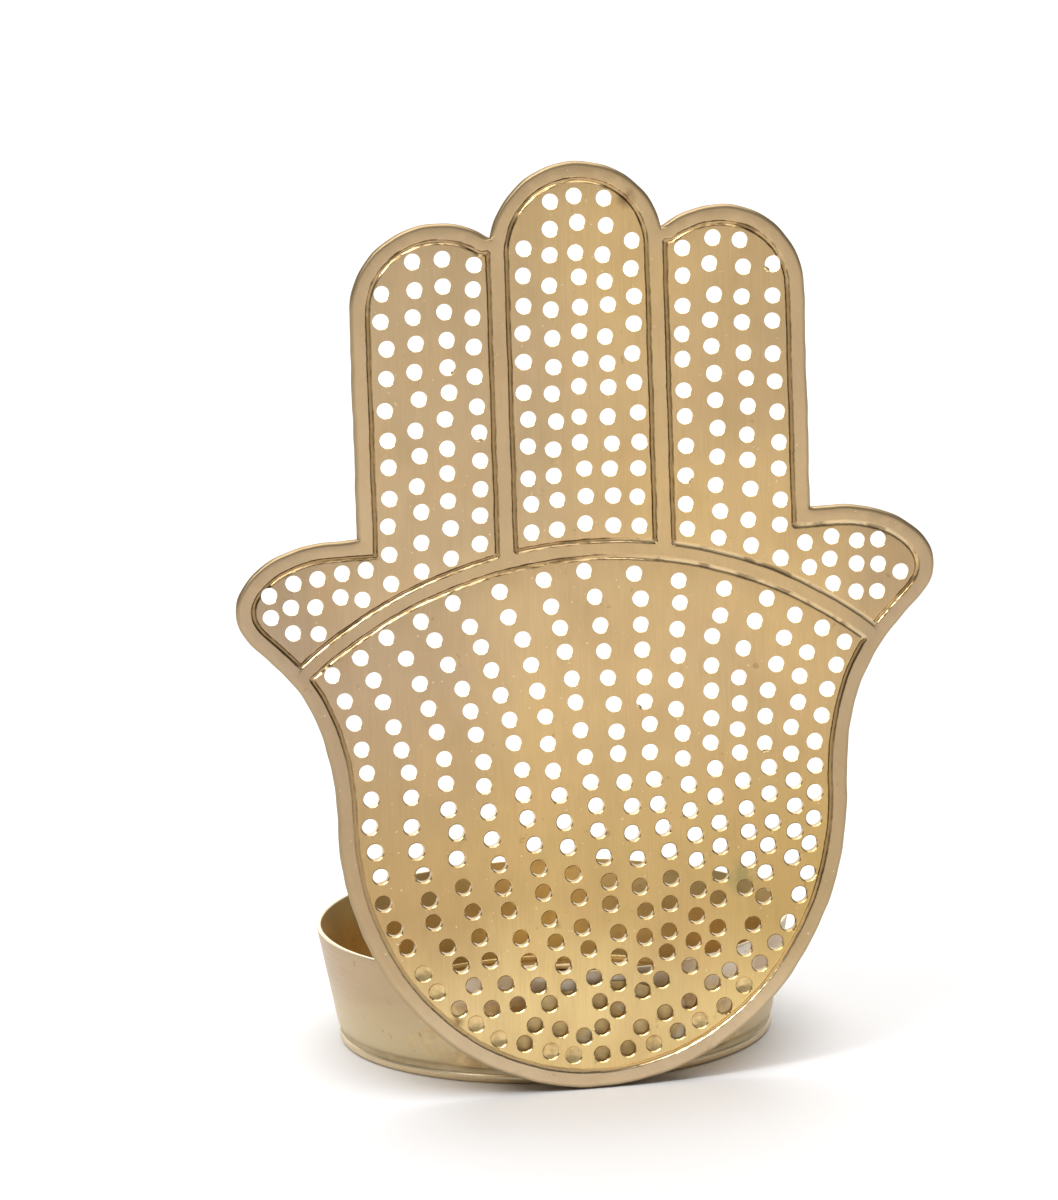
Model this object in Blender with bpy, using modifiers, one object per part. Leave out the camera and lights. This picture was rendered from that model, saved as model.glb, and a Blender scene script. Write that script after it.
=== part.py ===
"""Hamsa tealight holder: a pierced sheet brass hand, soldered upright to the front of a shallow brass cup."""

import math
import random

import bmesh
import bpy
from mathutils import Matrix

MM = 0.001

# Hand plate, heights stacked from its bottom edge upwards
PLATE_THICKNESS = 0.8 * MM
PLATE_FOOT_Z = 0.1 * MM
BOWL_HEIGHT = 28.2 * MM
THUMB_TIP_RISE = 21.6 * MM
THUMB_ROUND_RISE = 6.5 * MM
FINGER_RISE = 28.6 * MM
SIDE_TIP_RISE = 1.75 * MM
MIDDLE_TIP_RISE = 6.9 * MM

# Hand plate, widths from its centreline outwards
MIDDLE_HALF_WIDTH = 8.4 * MM
SIDE_FINGER_WIDTH = 13.9 * MM
SIDE_TIP_ROUND = 8.5 * MM
THUMB_TOP_FLAT = 2.2 * MM
PALM_HALF_WIDTH = 25.2 * MM
THUMB_REACH = 9.2 * MM
PALM_FLARE = 16.5 * MM
THUMB_TURN = 5.0 * MM

# Chased lines that part the plate into panels
BORDER_WIDTH = 1.75 * MM
MIDDLE_LINE_INSET = 1.55 * MM
FINGER_BAR = 1.8 * MM
ARCH_OVERHANG = 2.9 * MM
ARCH_RISE = 10.2 * MM
ARCH_BAND = 1.65 * MM

# Drilled holes
HOLE_DIAMETER = 1.55 * MM
HOLE_SIDES = 6
HOLE_MARGIN = 1.5 * MM
HOLE_PITCH = 2.75 * MM
PALM_PITCH = 2.6 * MM
HOLE_WEB = 0.40 * MM
HOLE_WANDER = 0.26 * MM
COLUMN_LEAN = 0.35
SIDE_COLUMNS = 4
MIDDLE_COLUMNS = 5
PALM_COLUMNS = 15
THUMB_COLUMNS = 5
DRILL_SEED = 23

# Cup and base
CUP_RIM_RADIUS = 23.4 * MM
CUP_HEIGHT = 11.7 * MM
CUP_WALL = 0.7 * MM
CUP_TAPER = math.radians(10.6)
CUP_FLAT = 0.6 * MM
FOOT_ROUND = 0.9 * MM
FOOT_LIP = 1.0 * MM
BASE_OVERHANG = 0.7 * MM
BASE_THICKNESS = 1.0 * MM
BASE_EDGE = 0.15 * MM

# Soft solder, and the thin seam that it leaves between the sheets
SEAM_GAP = 0.3 * MM
SOLDER_GAP = 0.15 * MM
BEAD_SIZE = 0.5 * MM
BEAD_HOLLOW = 0.15 * MM
FILLET_OFFSET = 6.8 * MM
FILLET_RISE = 3.5 * MM
FILLET_HALF_LENGTH = 4.6 * MM
FILLET_DEPTH = 3.0 * MM
FILLET_HALF_HEIGHT = 3.0 * MM

# Facets along each round stretch
BOWL_FACETS = 14
FLARE_FACETS = 12
THUMB_FACETS = 9
SIDE_TIP_FACETS = 8
SIDE_TOP_FACETS = 4
MIDDLE_TIP_FACETS = 10
CUP_FACETS = 60
CUP_ROWS = 5
FOOT_FACETS = 4
FILLET_FACETS = 18
COLUMN_SAMPLES = 160
FLARE_SAMPLES = 40

# Places that follow from the sizes above
CUP_FLAT_Y = CUP_RIM_RADIUS - CUP_FLAT
PLATE_BACK_Y = -(CUP_FLAT_Y + SEAM_GAP)
PLATE_MIDDLE_Y = PLATE_BACK_Y - PLATE_THICKNESS / 2
FINGER_EDGE_X = MIDDLE_HALF_WIDTH + SIDE_FINGER_WIDTH
THUMB_START_X = FINGER_EDGE_X + THUMB_TOP_FLAT
THUMB_TIP_X = PALM_HALF_WIDTH + THUMB_REACH
THUMB_TIP_Z = BOWL_HEIGHT + THUMB_TIP_RISE
THUMB_TOP_Z = THUMB_TIP_Z + THUMB_ROUND_RISE
VALLEY_Z = THUMB_TOP_Z + FINGER_RISE
SIDE_TIP_Z = VALLEY_Z + SIDE_TIP_RISE
MIDDLE_TIP_Z = VALLEY_Z + MIDDLE_TIP_RISE
MIDDLE_TIP_RADIUS = (MIDDLE_HALF_WIDTH**2 + MIDDLE_TIP_RISE**2) / (2 * MIDDLE_TIP_RISE)
SIDE_TOP_X = FINGER_EDGE_X - SIDE_TIP_ROUND
SIDE_TOP_REACH = SIDE_TOP_X - MIDDLE_HALF_WIDTH
SIDE_TOP_RADIUS = (SIDE_TOP_REACH**2 + SIDE_TIP_RISE**2) / (2 * SIDE_TIP_RISE)
HOLE_EDGE = BORDER_WIDTH + HOLE_MARGIN
HOLE_CLEAR = BORDER_WIDTH + HOLE_DIAMETER / 2
MIDDLE_PANEL_X = MIDDLE_HALF_WIDTH - MIDDLE_LINE_INSET
SIDE_PANEL_X = MIDDLE_PANEL_X + FINGER_BAR
ARCH_END_X = PALM_HALF_WIDTH + ARCH_OVERHANG
ARCH_RADIUS = (ARCH_END_X**2 + ARCH_RISE**2) / (2 * ARCH_RISE)
ARCH_TOP_Z = THUMB_TOP_Z - BORDER_WIDTH
FOOT_Z = BASE_THICKNESS + SEAM_GAP
FOOT_BEND_Z = FOOT_Z + FOOT_ROUND
FOOT_START_Z = FOOT_BEND_Z - FOOT_ROUND * math.sin(CUP_TAPER)
FOOT_START_RADIUS = CUP_RIM_RADIUS - (CUP_HEIGHT - FOOT_START_Z) * math.tan(CUP_TAPER)
FOOT_BEND_RADIUS = FOOT_START_RADIUS - FOOT_ROUND * math.cos(CUP_TAPER)
BASE_RADIUS = FOOT_BEND_RADIUS + BASE_OVERHANG


def clear_scene():
    """Start from an empty scene."""
    for obj in list(bpy.data.objects):
        bpy.data.objects.remove(obj, do_unlink=True)


def new_collection(name, hidden=False):
    collection = bpy.data.collections.new(name)
    collection.hide_render = hidden
    bpy.context.scene.collection.children.link(collection)
    return collection


def metal(name, colour, roughness):
    """A bare metal finish."""
    material = bpy.data.materials.new(name)
    material.use_nodes = True
    shader = material.node_tree.nodes["Principled BSDF"]
    shader.inputs["Base Color"].default_value = (*colour, 1.0)
    shader.inputs["Roughness"].default_value = roughness
    shader.inputs["Metallic"].default_value = 1.0
    return material


def ellipse_arc(centre, radii, start, end, steps):
    """Points along an ellipse from one angle in degrees to another, both ends included."""
    turns = [math.radians(start + (end - start) * i / steps) for i in range(steps + 1)]
    return [(centre[0] + radii[0] * math.cos(a), centre[1] + radii[1] * math.sin(a)) for a in turns]


def bezier(p0, p1, p2, p3, steps):
    """Points along a cubic curve, both ends included."""
    points = []
    for i in range(steps + 1):
        t = i / steps
        weights = ((1 - t) ** 3, 3 * t * (1 - t) ** 2, 3 * t**2 * (1 - t), t**3)
        corners = (p0, p1, p2, p3)
        points.append(tuple(sum(w * p[k] for w, p in zip(weights, corners)) for k in (0, 1)))
    return points


def palm_side(steps):
    """The palm's side, from the bowl's widest point up and out to the tip of the thumb."""
    return bezier(
        (PALM_HALF_WIDTH, BOWL_HEIGHT),
        (PALM_HALF_WIDTH, BOWL_HEIGHT + PALM_FLARE),
        (THUMB_TIP_X, THUMB_TIP_Z - THUMB_TURN),
        (THUMB_TIP_X, THUMB_TIP_Z),
        steps,
    )


def half_outline():
    """The right half of the hand, from the middle of its bottom edge to the tip of its middle finger."""
    bowl = ellipse_arc((0, BOWL_HEIGHT), (PALM_HALF_WIDTH, BOWL_HEIGHT), -90, 0, BOWL_FACETS)
    thumb_radii = (THUMB_TIP_X - THUMB_START_X, THUMB_ROUND_RISE)
    thumb = ellipse_arc((THUMB_START_X, THUMB_TIP_Z), thumb_radii, 0, 90, THUMB_FACETS)
    side_centre = (SIDE_TOP_X, SIDE_TIP_Z - SIDE_TIP_ROUND)
    side = ellipse_arc(side_centre, (SIDE_TIP_ROUND, SIDE_TIP_ROUND), 0, 90, SIDE_TIP_FACETS)
    inner_end = 90 + math.degrees(math.asin(SIDE_TOP_REACH / SIDE_TOP_RADIUS))
    inner_centre = (SIDE_TOP_X, SIDE_TIP_Z - SIDE_TOP_RADIUS)
    inner_radii = (SIDE_TOP_RADIUS, SIDE_TOP_RADIUS)
    inner = ellipse_arc(inner_centre, inner_radii, 90, inner_end, SIDE_TOP_FACETS)
    tip_z = MIDDLE_TIP_Z - MIDDLE_TIP_RADIUS
    tip_start = math.degrees(math.atan2(VALLEY_Z - tip_z, MIDDLE_HALF_WIDTH))
    tip_radii = (MIDDLE_TIP_RADIUS, MIDDLE_TIP_RADIUS)
    middle = ellipse_arc((0, tip_z), tip_radii, tip_start, 90, MIDDLE_TIP_FACETS)
    root = [(FINGER_EDGE_X, THUMB_TOP_Z)]
    return bowl + palm_side(FLARE_FACETS)[1:] + thumb[1:] + root + side + inner[1:] + middle[1:]


def hand_outline():
    """The whole hand, its right half and the mirror of it."""
    right = half_outline()
    left = [(-x, z) for x, z in reversed(right[1:-1])]
    return right + left


def arch_z(x, drop):
    """Height at x of the arched line under the fingers, or of one that lies a drop below it."""
    radius = ARCH_RADIUS - drop
    return ARCH_TOP_Z - ARCH_RADIUS + math.sqrt(max(radius**2 - x**2, 0.0))


def finger_top_z(x):
    """Height of the plate's upper edge over a point of the fingers."""
    if abs(x) < MIDDLE_HALF_WIDTH:
        return MIDDLE_TIP_Z - MIDDLE_TIP_RADIUS + math.sqrt(MIDDLE_TIP_RADIUS**2 - x**2)
    if abs(x) < SIDE_TOP_X:
        return SIDE_TIP_Z - SIDE_TOP_RADIUS + math.sqrt(SIDE_TOP_RADIUS**2 - (abs(x) - SIDE_TOP_X) ** 2)
    reach = max(SIDE_TIP_ROUND**2 - (abs(x) - SIDE_TOP_X) ** 2, 0.0)
    return SIDE_TIP_Z - SIDE_TIP_ROUND + math.sqrt(reach)


def column_top_z(x):
    """Height of the first hole in a finger's column, clear of the border at a rounded corner too."""
    top = finger_top_z(x) - HOLE_EDGE
    if abs(x) <= SIDE_TOP_X:
        return top
    reach = (SIDE_TIP_ROUND - HOLE_CLEAR - HOLE_WANDER) ** 2 - (abs(x) - SIDE_TOP_X) ** 2
    return min(top, SIDE_TIP_Z - SIDE_TIP_ROUND + math.sqrt(max(reach, 0.0)))


def palm_half_width(z):
    """How far from the centreline a hole may lie in the palm at a height."""
    if z < BOWL_HEIGHT:
        share = (BOWL_HEIGHT - z) / (BOWL_HEIGHT - HOLE_EDGE)
        return (PALM_HALF_WIDTH - HOLE_EDGE) * math.sqrt(max(1 - share**2, 0.0))
    side = palm_side(FLARE_SAMPLES)
    for (x0, z0), (x1, z1) in zip(side, side[1:]):
        if z <= z1:
            slope = (x1 - x0) / (z1 - z0)
            return x0 + slope * (z - z0) - HOLE_EDGE * math.hypot(1, slope)
    return THUMB_TIP_X - HOLE_EDGE


def column_points(path, pitch):
    """Even points along a column's path, near the pitch and from end to end."""
    lengths = [math.dist(a, b) for a, b in zip(path, path[1:])]
    count = max(round(sum(lengths) / pitch), 1)
    step = sum(lengths) / count
    points = [path[0]]
    walked = 0.0
    for (a, b), length in zip(zip(path, path[1:]), lengths):
        while len(points) <= count and walked + length >= step * len(points) * (1 - 1e-6):
            share = (step * len(points) - walked) / length
            points.append((a[0] + (b[0] - a[0]) * share, a[1] + (b[1] - a[1]) * share))
        walked += length
    return points


def upright_column(x, top, bottom):
    return column_points([(x, top), (x, bottom)], HOLE_PITCH) if top - bottom > HOLE_PITCH / 2 else []


def spread(low, high, count):
    return [low + (high - low) * i / (count - 1) for i in range(count)]


def finger_columns():
    """Columns of holes down the three fingers, to just above the arch."""
    columns = []
    middle_x = MIDDLE_PANEL_X - HOLE_MARGIN
    side_low = SIDE_PANEL_X + HOLE_MARGIN
    side_high = FINGER_EDGE_X - HOLE_EDGE
    places = spread(-middle_x, middle_x, MIDDLE_COLUMNS)
    for x in spread(side_low, side_high, SIDE_COLUMNS):
        places += [-x, x]
    for x in places:
        columns.append(upright_column(x, column_top_z(x), arch_z(x, 0) + HOLE_MARGIN))
    return columns


def thumb_under_z(x):
    """Lowest height of a hole in the thumb at x, clear of the thumb's lower edge."""
    side = palm_side(FLARE_SAMPLES)
    for (x0, z0), (x1, z1) in zip(side, side[1:]):
        if x <= x1 and x1 > x0:
            slope = (z1 - z0) / (x1 - x0)
            return z0 + slope * (x - x0) + HOLE_EDGE * math.hypot(1, slope)
    return THUMB_TIP_Z


def thumb_columns():
    """Short columns of holes from the side fingers out to the tips of the thumbs."""
    columns = []
    low = FINGER_EDGE_X - HOLE_EDGE + HOLE_PITCH
    for x in spread(low, THUMB_TIP_X - HOLE_EDGE, THUMB_COLUMNS):
        across = max(x - THUMB_START_X, 0.0) / (THUMB_TIP_X - THUMB_START_X)
        top = THUMB_TIP_Z + THUMB_ROUND_RISE * math.sqrt(1 - across**2) - HOLE_EDGE
        bottom = arch_z(x, 0) + HOLE_MARGIN
        if x > PALM_HALF_WIDTH:
            bottom = max(bottom, thumb_under_z(x))
        columns += [upright_column(side * x, top, bottom) for side in (-1, 1)]
    return columns


def palm_columns():
    """Columns of holes down the palm: the outer ones follow the border, the inner ones lean to one side."""
    columns = []
    top_z = arch_z(0, ARCH_BAND) - HOLE_MARGIN
    for u in sorted(spread(-1, 1, PALM_COLUMNS), key=abs, reverse=True):
        path = []
        for z in spread(top_z, HOLE_EDGE, COLUMN_SAMPLES):
            lean = COLUMN_LEAN * (1 - u * u) * (top_z - z) / top_z
            x = palm_half_width(z) * (u + lean)
            if z <= arch_z(x, ARCH_BAND) - HOLE_MARGIN:
                path.append((x, z))
        columns.append(column_points(path, PALM_PITCH))
    return columns


def edge_distance(spot, outline):
    """Distance from a point to the nearest straight run of a closed outline."""
    nearest = math.inf
    for (x0, z0), (x1, z1) in zip(outline, outline[1:] + outline[:1]):
        run = (x1 - x0, z1 - z0)
        along = ((spot[0] - x0) * run[0] + (spot[1] - z0) * run[1]) / (run[0] ** 2 + run[1] ** 2)
        along = min(max(along, 0.0), 1.0)
        nearest = min(nearest, math.dist(spot, (x0 + run[0] * along, z0 + run[1] * along)))
    return nearest


def hole_centres():
    """Every drilled hole, each a little off its mark, clear of the border and of the holes before it."""
    drill = random.Random(DRILL_SEED)
    outline = hand_outline()
    least = HOLE_DIAMETER + HOLE_WEB
    centres = []
    for column in finger_columns() + thumb_columns() + palm_columns():
        for x, z in column:
            spot = (
                x + drill.uniform(-HOLE_WANDER, HOLE_WANDER),
                z + drill.uniform(-HOLE_WANDER, HOLE_WANDER),
            )
            apart = all(math.dist(spot, other) > least for other in centres)
            if apart and edge_distance(spot, outline) > HOLE_CLEAR:
                centres.append(spot)
    return centres


def add_ring(curve, points):
    """Add a closed run of straight edges to a flat curve."""
    spline = curve.splines.new("POLY")
    spline.points.add(len(points) - 1)
    for point, (x, y) in zip(spline.points, points):
        point.co = (x, y, 0, 1)
    spline.use_cyclic_u = True


def hand_plate(collection, finish):
    """The pierced hand, a flat outline with its holes, stood upright against the cup."""
    curve = bpy.data.curves.new("hand_plate", "CURVE")
    curve.dimensions = "2D"
    curve.fill_mode = "BOTH"
    curve.extrude = PLATE_THICKNESS / 2
    add_ring(curve, hand_outline())
    corner = HOLE_DIAMETER / 2 * math.sqrt(2 * math.pi / (HOLE_SIDES * math.sin(2 * math.pi / HOLE_SIDES)))
    for x, z in hole_centres():
        turn = 360 / HOLE_SIDES
        add_ring(curve, ellipse_arc((x, z), (corner, corner), 0, 360 - turn, HOLE_SIDES - 1))
    curve.materials.append(finish)
    plate = bpy.data.objects.new("hand_plate", curve)
    plate.rotation_euler = (math.pi / 2, 0, 0)
    plate.location = (0, PLATE_MIDDLE_Y, PLATE_FOOT_Z)
    collection.objects.link(plate)


def cup_line(offset):
    """The cup wall's line from rim to lip, moved inwards from the outside by an offset."""
    bend = FOOT_ROUND - offset
    foot_centre = (FOOT_BEND_RADIUS, FOOT_BEND_Z)
    foot = ellipse_arc(foot_centre, (bend, bend), -math.degrees(CUP_TAPER), -90, FOOT_FACETS)
    rim = (CUP_RIM_RADIUS - offset / math.cos(CUP_TAPER), CUP_HEIGHT)
    rows = zip(spread(rim[0], foot[0][0], CUP_ROWS + 1), spread(rim[1], foot[0][1], CUP_ROWS + 1))
    lip = (FOOT_BEND_RADIUS - FOOT_LIP, FOOT_Z + offset)
    return list(rows) + foot[1:] + [lip]


def cup_radius(z):
    """The outside radius of the round cup at a height, before its front is pressed flat."""
    line = cup_line(0)
    for (r0, z0), (r1, z1) in zip(line, line[1:]):
        if z >= z1 and z0 > z1:
            return r0 + (r1 - r0) * (z - z0) / (z1 - z0)
    return line[-2][0]


def turned(name, profile, collection, finish=None, closed=True):
    """A profile of radius and height, listed down its outer side, carried round the cup's axis."""
    mesh = bpy.data.meshes.new(name)
    count = len(profile)
    edges = [(i, (i + 1) % count) for i in range(count if closed else count - 1)]
    mesh.from_pydata([(r, 0, z) for r, z in profile], edges, [])
    if finish:
        mesh.materials.append(finish)
    obj = bpy.data.objects.new(name, mesh)
    collection.objects.link(obj)
    screw = obj.modifiers.new("turn", "SCREW")
    screw.steps = CUP_FACETS
    screw.render_steps = CUP_FACETS
    screw.use_merge_vertices = True
    screw.merge_threshold = 0.00001
    return obj


def press_front_flat(obj, clear):
    """Press the front of a turned cup flat, parallel to the plate, with its wall kept as thick."""
    bpy.context.view_layer.update()
    graph = bpy.context.evaluated_depsgraph_get()
    mesh = bpy.data.meshes.new_from_object(obj.evaluated_get(graph))
    for vertex in mesh.vertices:
        depth = cup_radius(vertex.co.z) + clear - math.hypot(vertex.co.x, vertex.co.y)
        vertex.co.y = max(vertex.co.y, depth - CUP_FLAT_Y - clear)
    mesh.shade_smooth()
    mesh.set_sharp_from_angle(angle=math.radians(40))
    obj.modifiers.clear()
    obj.data = mesh


def cup_wall(collection, finish):
    """The raised side of the cup, with its foot rolled in over the base and its front pressed flat."""
    wall = turned("cup_wall", cup_line(0) + cup_line(CUP_WALL)[::-1], collection, finish)
    press_front_flat(wall, 0.0)


def base_disc(collection, finish):
    """The flat round base that the cup stands on."""
    mesh = bpy.data.meshes.new("base_disc")
    build = bmesh.new()
    bmesh.ops.create_cone(
        build,
        cap_ends=True,
        segments=CUP_FACETS,
        radius1=BASE_RADIUS,
        radius2=BASE_RADIUS,
        depth=BASE_THICKNESS,
        matrix=Matrix.Translation((0, 0, BASE_THICKNESS / 2)),
    )
    build.to_mesh(mesh)
    build.free()
    mesh.materials.append(finish)
    disc = bpy.data.objects.new("base_disc", mesh)
    collection.objects.link(disc)
    edge = disc.modifiers.new("edge", "BEVEL")
    edge.width = BASE_EDGE
    edge.segments = 1


def base_seam_solder(collection, finish):
    """The bead of solder run round inside the cup, where the wall's lip meets the base."""
    outside = FOOT_BEND_RADIUS - FOOT_LIP - SOLDER_GAP
    low = BASE_THICKNESS + SOLDER_GAP
    profile = [
        (outside, low + BEAD_SIZE),
        (outside, low),
        (outside - BEAD_SIZE, low),
        (outside - BEAD_HOLLOW, low + BEAD_HOLLOW),
    ]
    turned("base_seam_solder", profile, collection, finish)


def cup_envelope(cutters):
    """A solid of the cup's outside, grown by the solder's gap, that trims the fillets."""
    grown = [(r + SOLDER_GAP, z) for r, z in cup_line(0)]
    top = (0.0, CUP_HEIGHT)
    profile = [top] + grown[:-1] + [(grown[-2][0], -CUP_HEIGHT), (0.0, -CUP_HEIGHT)]
    envelope = turned("cup_envelope", profile, cutters, closed=False)
    press_front_flat(envelope, SOLDER_GAP)
    return envelope


def plate_envelope(cutters):
    """A block over the plate, out to the solder's gap behind it, that trims the fillets."""
    mesh = bpy.data.meshes.new("plate_envelope")
    depth = 4 * FILLET_DEPTH
    middle_y = PLATE_BACK_Y + SOLDER_GAP - depth / 2
    size = Matrix.Diagonal((4 * THUMB_TIP_X, depth, 4 * CUP_HEIGHT, 1))
    build = bmesh.new()
    bmesh.ops.create_cube(build, size=1.0, matrix=Matrix.Translation((0, middle_y, 0)) @ size)
    build.to_mesh(mesh)
    build.free()
    block = bpy.data.objects.new("plate_envelope", mesh)
    cutters.objects.link(block)
    return block


def solder_fillet(name, side, collection, finish, cutters):
    """A lump of solder run into the wedge between the plate's back and one side of the cup's front."""
    mesh = bpy.data.meshes.new(name)
    place = Matrix.Translation((side * FILLET_OFFSET, PLATE_BACK_Y, FOOT_Z + FILLET_RISE))
    size = Matrix.Diagonal((FILLET_HALF_LENGTH, FILLET_DEPTH, FILLET_HALF_HEIGHT, 1))
    build = bmesh.new()
    bmesh.ops.create_uvsphere(
        build,
        u_segments=FILLET_FACETS,
        v_segments=FILLET_FACETS // 2,
        radius=1.0,
        matrix=place @ size,
    )
    build.to_mesh(mesh)
    build.free()
    mesh.materials.append(finish)
    mesh.shade_smooth()
    fillet = bpy.data.objects.new(name, mesh)
    collection.objects.link(fillet)
    for cutter in cutters:
        trim = fillet.modifiers.new("trim", "BOOLEAN")
        trim.operation = "DIFFERENCE"
        trim.solver = "EXACT"
        trim.object = cutter


def build_holder():
    clear_scene()
    holder = new_collection("hamsa_tealight_holder")
    helpers = new_collection("cutters", hidden=True)
    sheet = metal("brushed_brass", (0.58, 0.39, 0.16), 0.38)
    spun = metal("spun_brass", (0.55, 0.40, 0.20), 0.34)
    disc = metal("base_brass", (0.60, 0.45, 0.25), 0.36)
    solder = metal("soft_solder", (0.52, 0.44, 0.33), 0.45)
    hand_plate(holder, sheet)
    cup_wall(holder, spun)
    base_disc(holder, disc)
    base_seam_solder(holder, solder)
    trims = [cup_envelope(helpers), plate_envelope(helpers)]
    for trim in trims:
        trim.hide_render = True
        trim.display_type = "WIRE"
    solder_fillet("left_solder_fillet", -1, holder, solder, trims)
    solder_fillet("right_solder_fillet", 1, holder, solder, trims)


build_holder()
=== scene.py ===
"""Looks of a hamsa tealight holder: a pierced and chased brass hand, soldered upright to a shallow cup."""

import bmesh
import bpy
import numpy as np
from mathutils import Matrix, Vector
from mathutils.geometry import delaunay_2d_cdt


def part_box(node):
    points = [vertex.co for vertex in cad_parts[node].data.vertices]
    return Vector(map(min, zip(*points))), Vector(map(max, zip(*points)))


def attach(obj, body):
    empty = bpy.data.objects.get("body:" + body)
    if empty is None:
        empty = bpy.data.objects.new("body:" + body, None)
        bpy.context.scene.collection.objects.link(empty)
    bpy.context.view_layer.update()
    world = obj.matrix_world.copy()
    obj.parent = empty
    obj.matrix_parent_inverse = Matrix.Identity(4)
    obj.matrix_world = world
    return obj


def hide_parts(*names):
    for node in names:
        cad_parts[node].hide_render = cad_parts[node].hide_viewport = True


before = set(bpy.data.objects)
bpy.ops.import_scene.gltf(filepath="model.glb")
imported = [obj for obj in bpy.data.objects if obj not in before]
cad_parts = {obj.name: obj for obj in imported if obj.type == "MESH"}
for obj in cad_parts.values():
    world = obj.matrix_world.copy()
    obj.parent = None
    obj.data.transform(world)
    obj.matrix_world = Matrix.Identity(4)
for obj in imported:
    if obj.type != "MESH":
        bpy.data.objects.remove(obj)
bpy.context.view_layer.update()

# Base disc
# A flat disc of sheet brass under the cup, cut round with snips and filed at its edge.
# The cup's rolled foot is soldered to it, so the part inside the cup is browned by heat and wax.

MM = 0.001
BASE_TURNS = 180
BASE_EDGE_ROUND = 0.30 * MM
BASE_UNDER_ROUND = 0.55 * MM
BASE_STANDING_RING = 2.5 * MM
BASE_HOLLOW = 0.06 * MM
BASE_BROWN_REACH = 19.2 * MM
BASE_BROWN_FADE = 0.6 * MM
BASE_BRASS = (0.80, 0.66, 0.44)
BASE_STAIN = (0.50, 0.33, 0.14)
BASE_GRAIN = (0.42, 0.30, 0.15)
BASE_BUMP = 0.01 * MM
WELD = 0.0005 * MM
NOISE_ROUGH = 0.55


def arc(centre, radii, start, end, steps):
    """Points of an ellipse, or of a circle where one radius is given: the centre plus each radius times
    the cosine or sine of an angle that runs evenly from start to end, in degrees."""
    angle = np.radians(np.linspace(start, end, steps + 1))
    return np.array(centre) + np.array(radii) * np.column_stack([np.cos(angle), np.sin(angle)])


def full_turn(steps):
    """Angles set evenly round a full turn, in radians."""
    return np.linspace(0, 2 * np.pi, steps, endpoint=False)


def round_z(radius, height, angle):
    """Points carried round the Z axis: at angle a, radius r and height z go to (r cos a, r sin a, z)."""
    return np.stack(np.broadcast_arrays(radius * np.cos(angle), radius * np.sin(angle), height), axis=-1)


def turned(profile, turns):
    """Carry a profile once round the Z axis. The grid has one row for each angle and one column for each
    profile point."""
    return round_z(profile[:, 0], profile[:, 1], full_turn(turns)[:, None])


def grid_faces(points, closed_columns=False):
    """Quads between neighbouring points of a grid whose rows always close on themselves, or of many such
    grids one after another."""
    here = np.arange(points[..., 0].size).reshape(-1, *points.shape[-3:-1])
    below = np.roll(here, -1, axis=1)
    quads = np.stack([here, np.roll(here, -1, axis=2), np.roll(below, -1, axis=2), below], axis=-1)
    return (quads if closed_columns else quads[:, :, :-1]).reshape(-1, 4)


def add_piece(name, points, faces, material, marks=None, sharp=35):
    """Put a closed surface into a mesh at the origin, ride it on the root body and name its finish. Points
    that coincide become one, which closes seams and poles, and marks are numbers kept at each point."""
    mesh = bpy.data.meshes.new(name)
    mesh.from_pydata(points.reshape(-1, 3).tolist(), [], [face.tolist() for face in faces])
    for label, values in (marks or {}).items():
        attribute = mesh.attributes.new(label, "FLOAT", "POINT")
        attribute.data.foreach_set("value", values.astype(np.float32).ravel())
    build = bmesh.new()
    build.from_mesh(mesh)
    bmesh.ops.remove_doubles(build, verts=build.verts, dist=WELD)
    bmesh.ops.recalc_face_normals(build, faces=build.faces)
    build.to_mesh(mesh)
    build.free()
    mesh.materials.append(material)
    mesh.shade_smooth()
    mesh.set_sharp_from_angle(angle=np.radians(sharp))
    piece = bpy.data.objects.new(name, mesh)
    bpy.context.scene.collection.objects.link(piece)
    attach(piece, "root")
    return piece


bench = {}


def new_metal(name):
    """Lay a new metal on the bench, with nothing on it yet. The calls below add their nodes to it, until
    the next metal is laid there."""
    material = bpy.data.materials.new(name)
    material.use_nodes = True
    bench["tree"] = material.node_tree
    return material


def feed(socket, source):
    """Give a socket its value, or link the output that feeds it."""
    if isinstance(source, bpy.types.NodeSocket):
        bench["tree"].links.new(source, socket)
    else:
        socket.default_value = source


def add_node(kind, sockets, **fields):
    """Add a shader node to the metal on the bench, set its fields and feed its named sockets."""
    made = bench["tree"].nodes.new(kind)
    for field, value in fields.items():
        setattr(made, field, value)
    for socket, source in sockets.items():
        feed(made.inputs[socket], source)
    return made


def object_place():
    """The place of each point in the piece's own frame."""
    return add_node("ShaderNodeTexCoord", {}).outputs["Object"]


def object_noise(waves, detail=3.0, turn=0.0):
    """Cloudy noise in the piece's own frame, with so many waves per metre, or so many along each of X, Y
    and Z, after a turn about Y in degrees."""
    waves = np.broadcast_to(waves, 3).tolist()
    turned_place = {"Vector": object_place(), "Rotation": (0, np.radians(turn), 0)}
    spun = add_node("ShaderNodeMapping", turned_place)
    stretched = add_node("ShaderNodeMapping", {"Vector": spun.outputs[0], "Scale": waves})
    sockets = {"Vector": stretched.outputs[0], "Scale": 1.0, "Detail": detail, "Roughness": NOISE_ROUGH}
    return add_node("ShaderNodeTexNoise", sockets).outputs["Fac"]


def ramp(value, low, high, start=0.0, end=1.0):
    """A number that goes from start to end as the value goes from low to high, and stays there beyond."""
    sockets = {"Value": value, "From Min": low, "From Max": high, "To Min": start, "To Max": end}
    return add_node("ShaderNodeMapRange", sockets).outputs[0]


def maths(operation, first, second=0.0):
    """One of the shader's own sums on two numbers."""
    return add_node("ShaderNodeMath", {0: first, 1: second}, operation=operation).outputs[0]


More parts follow.
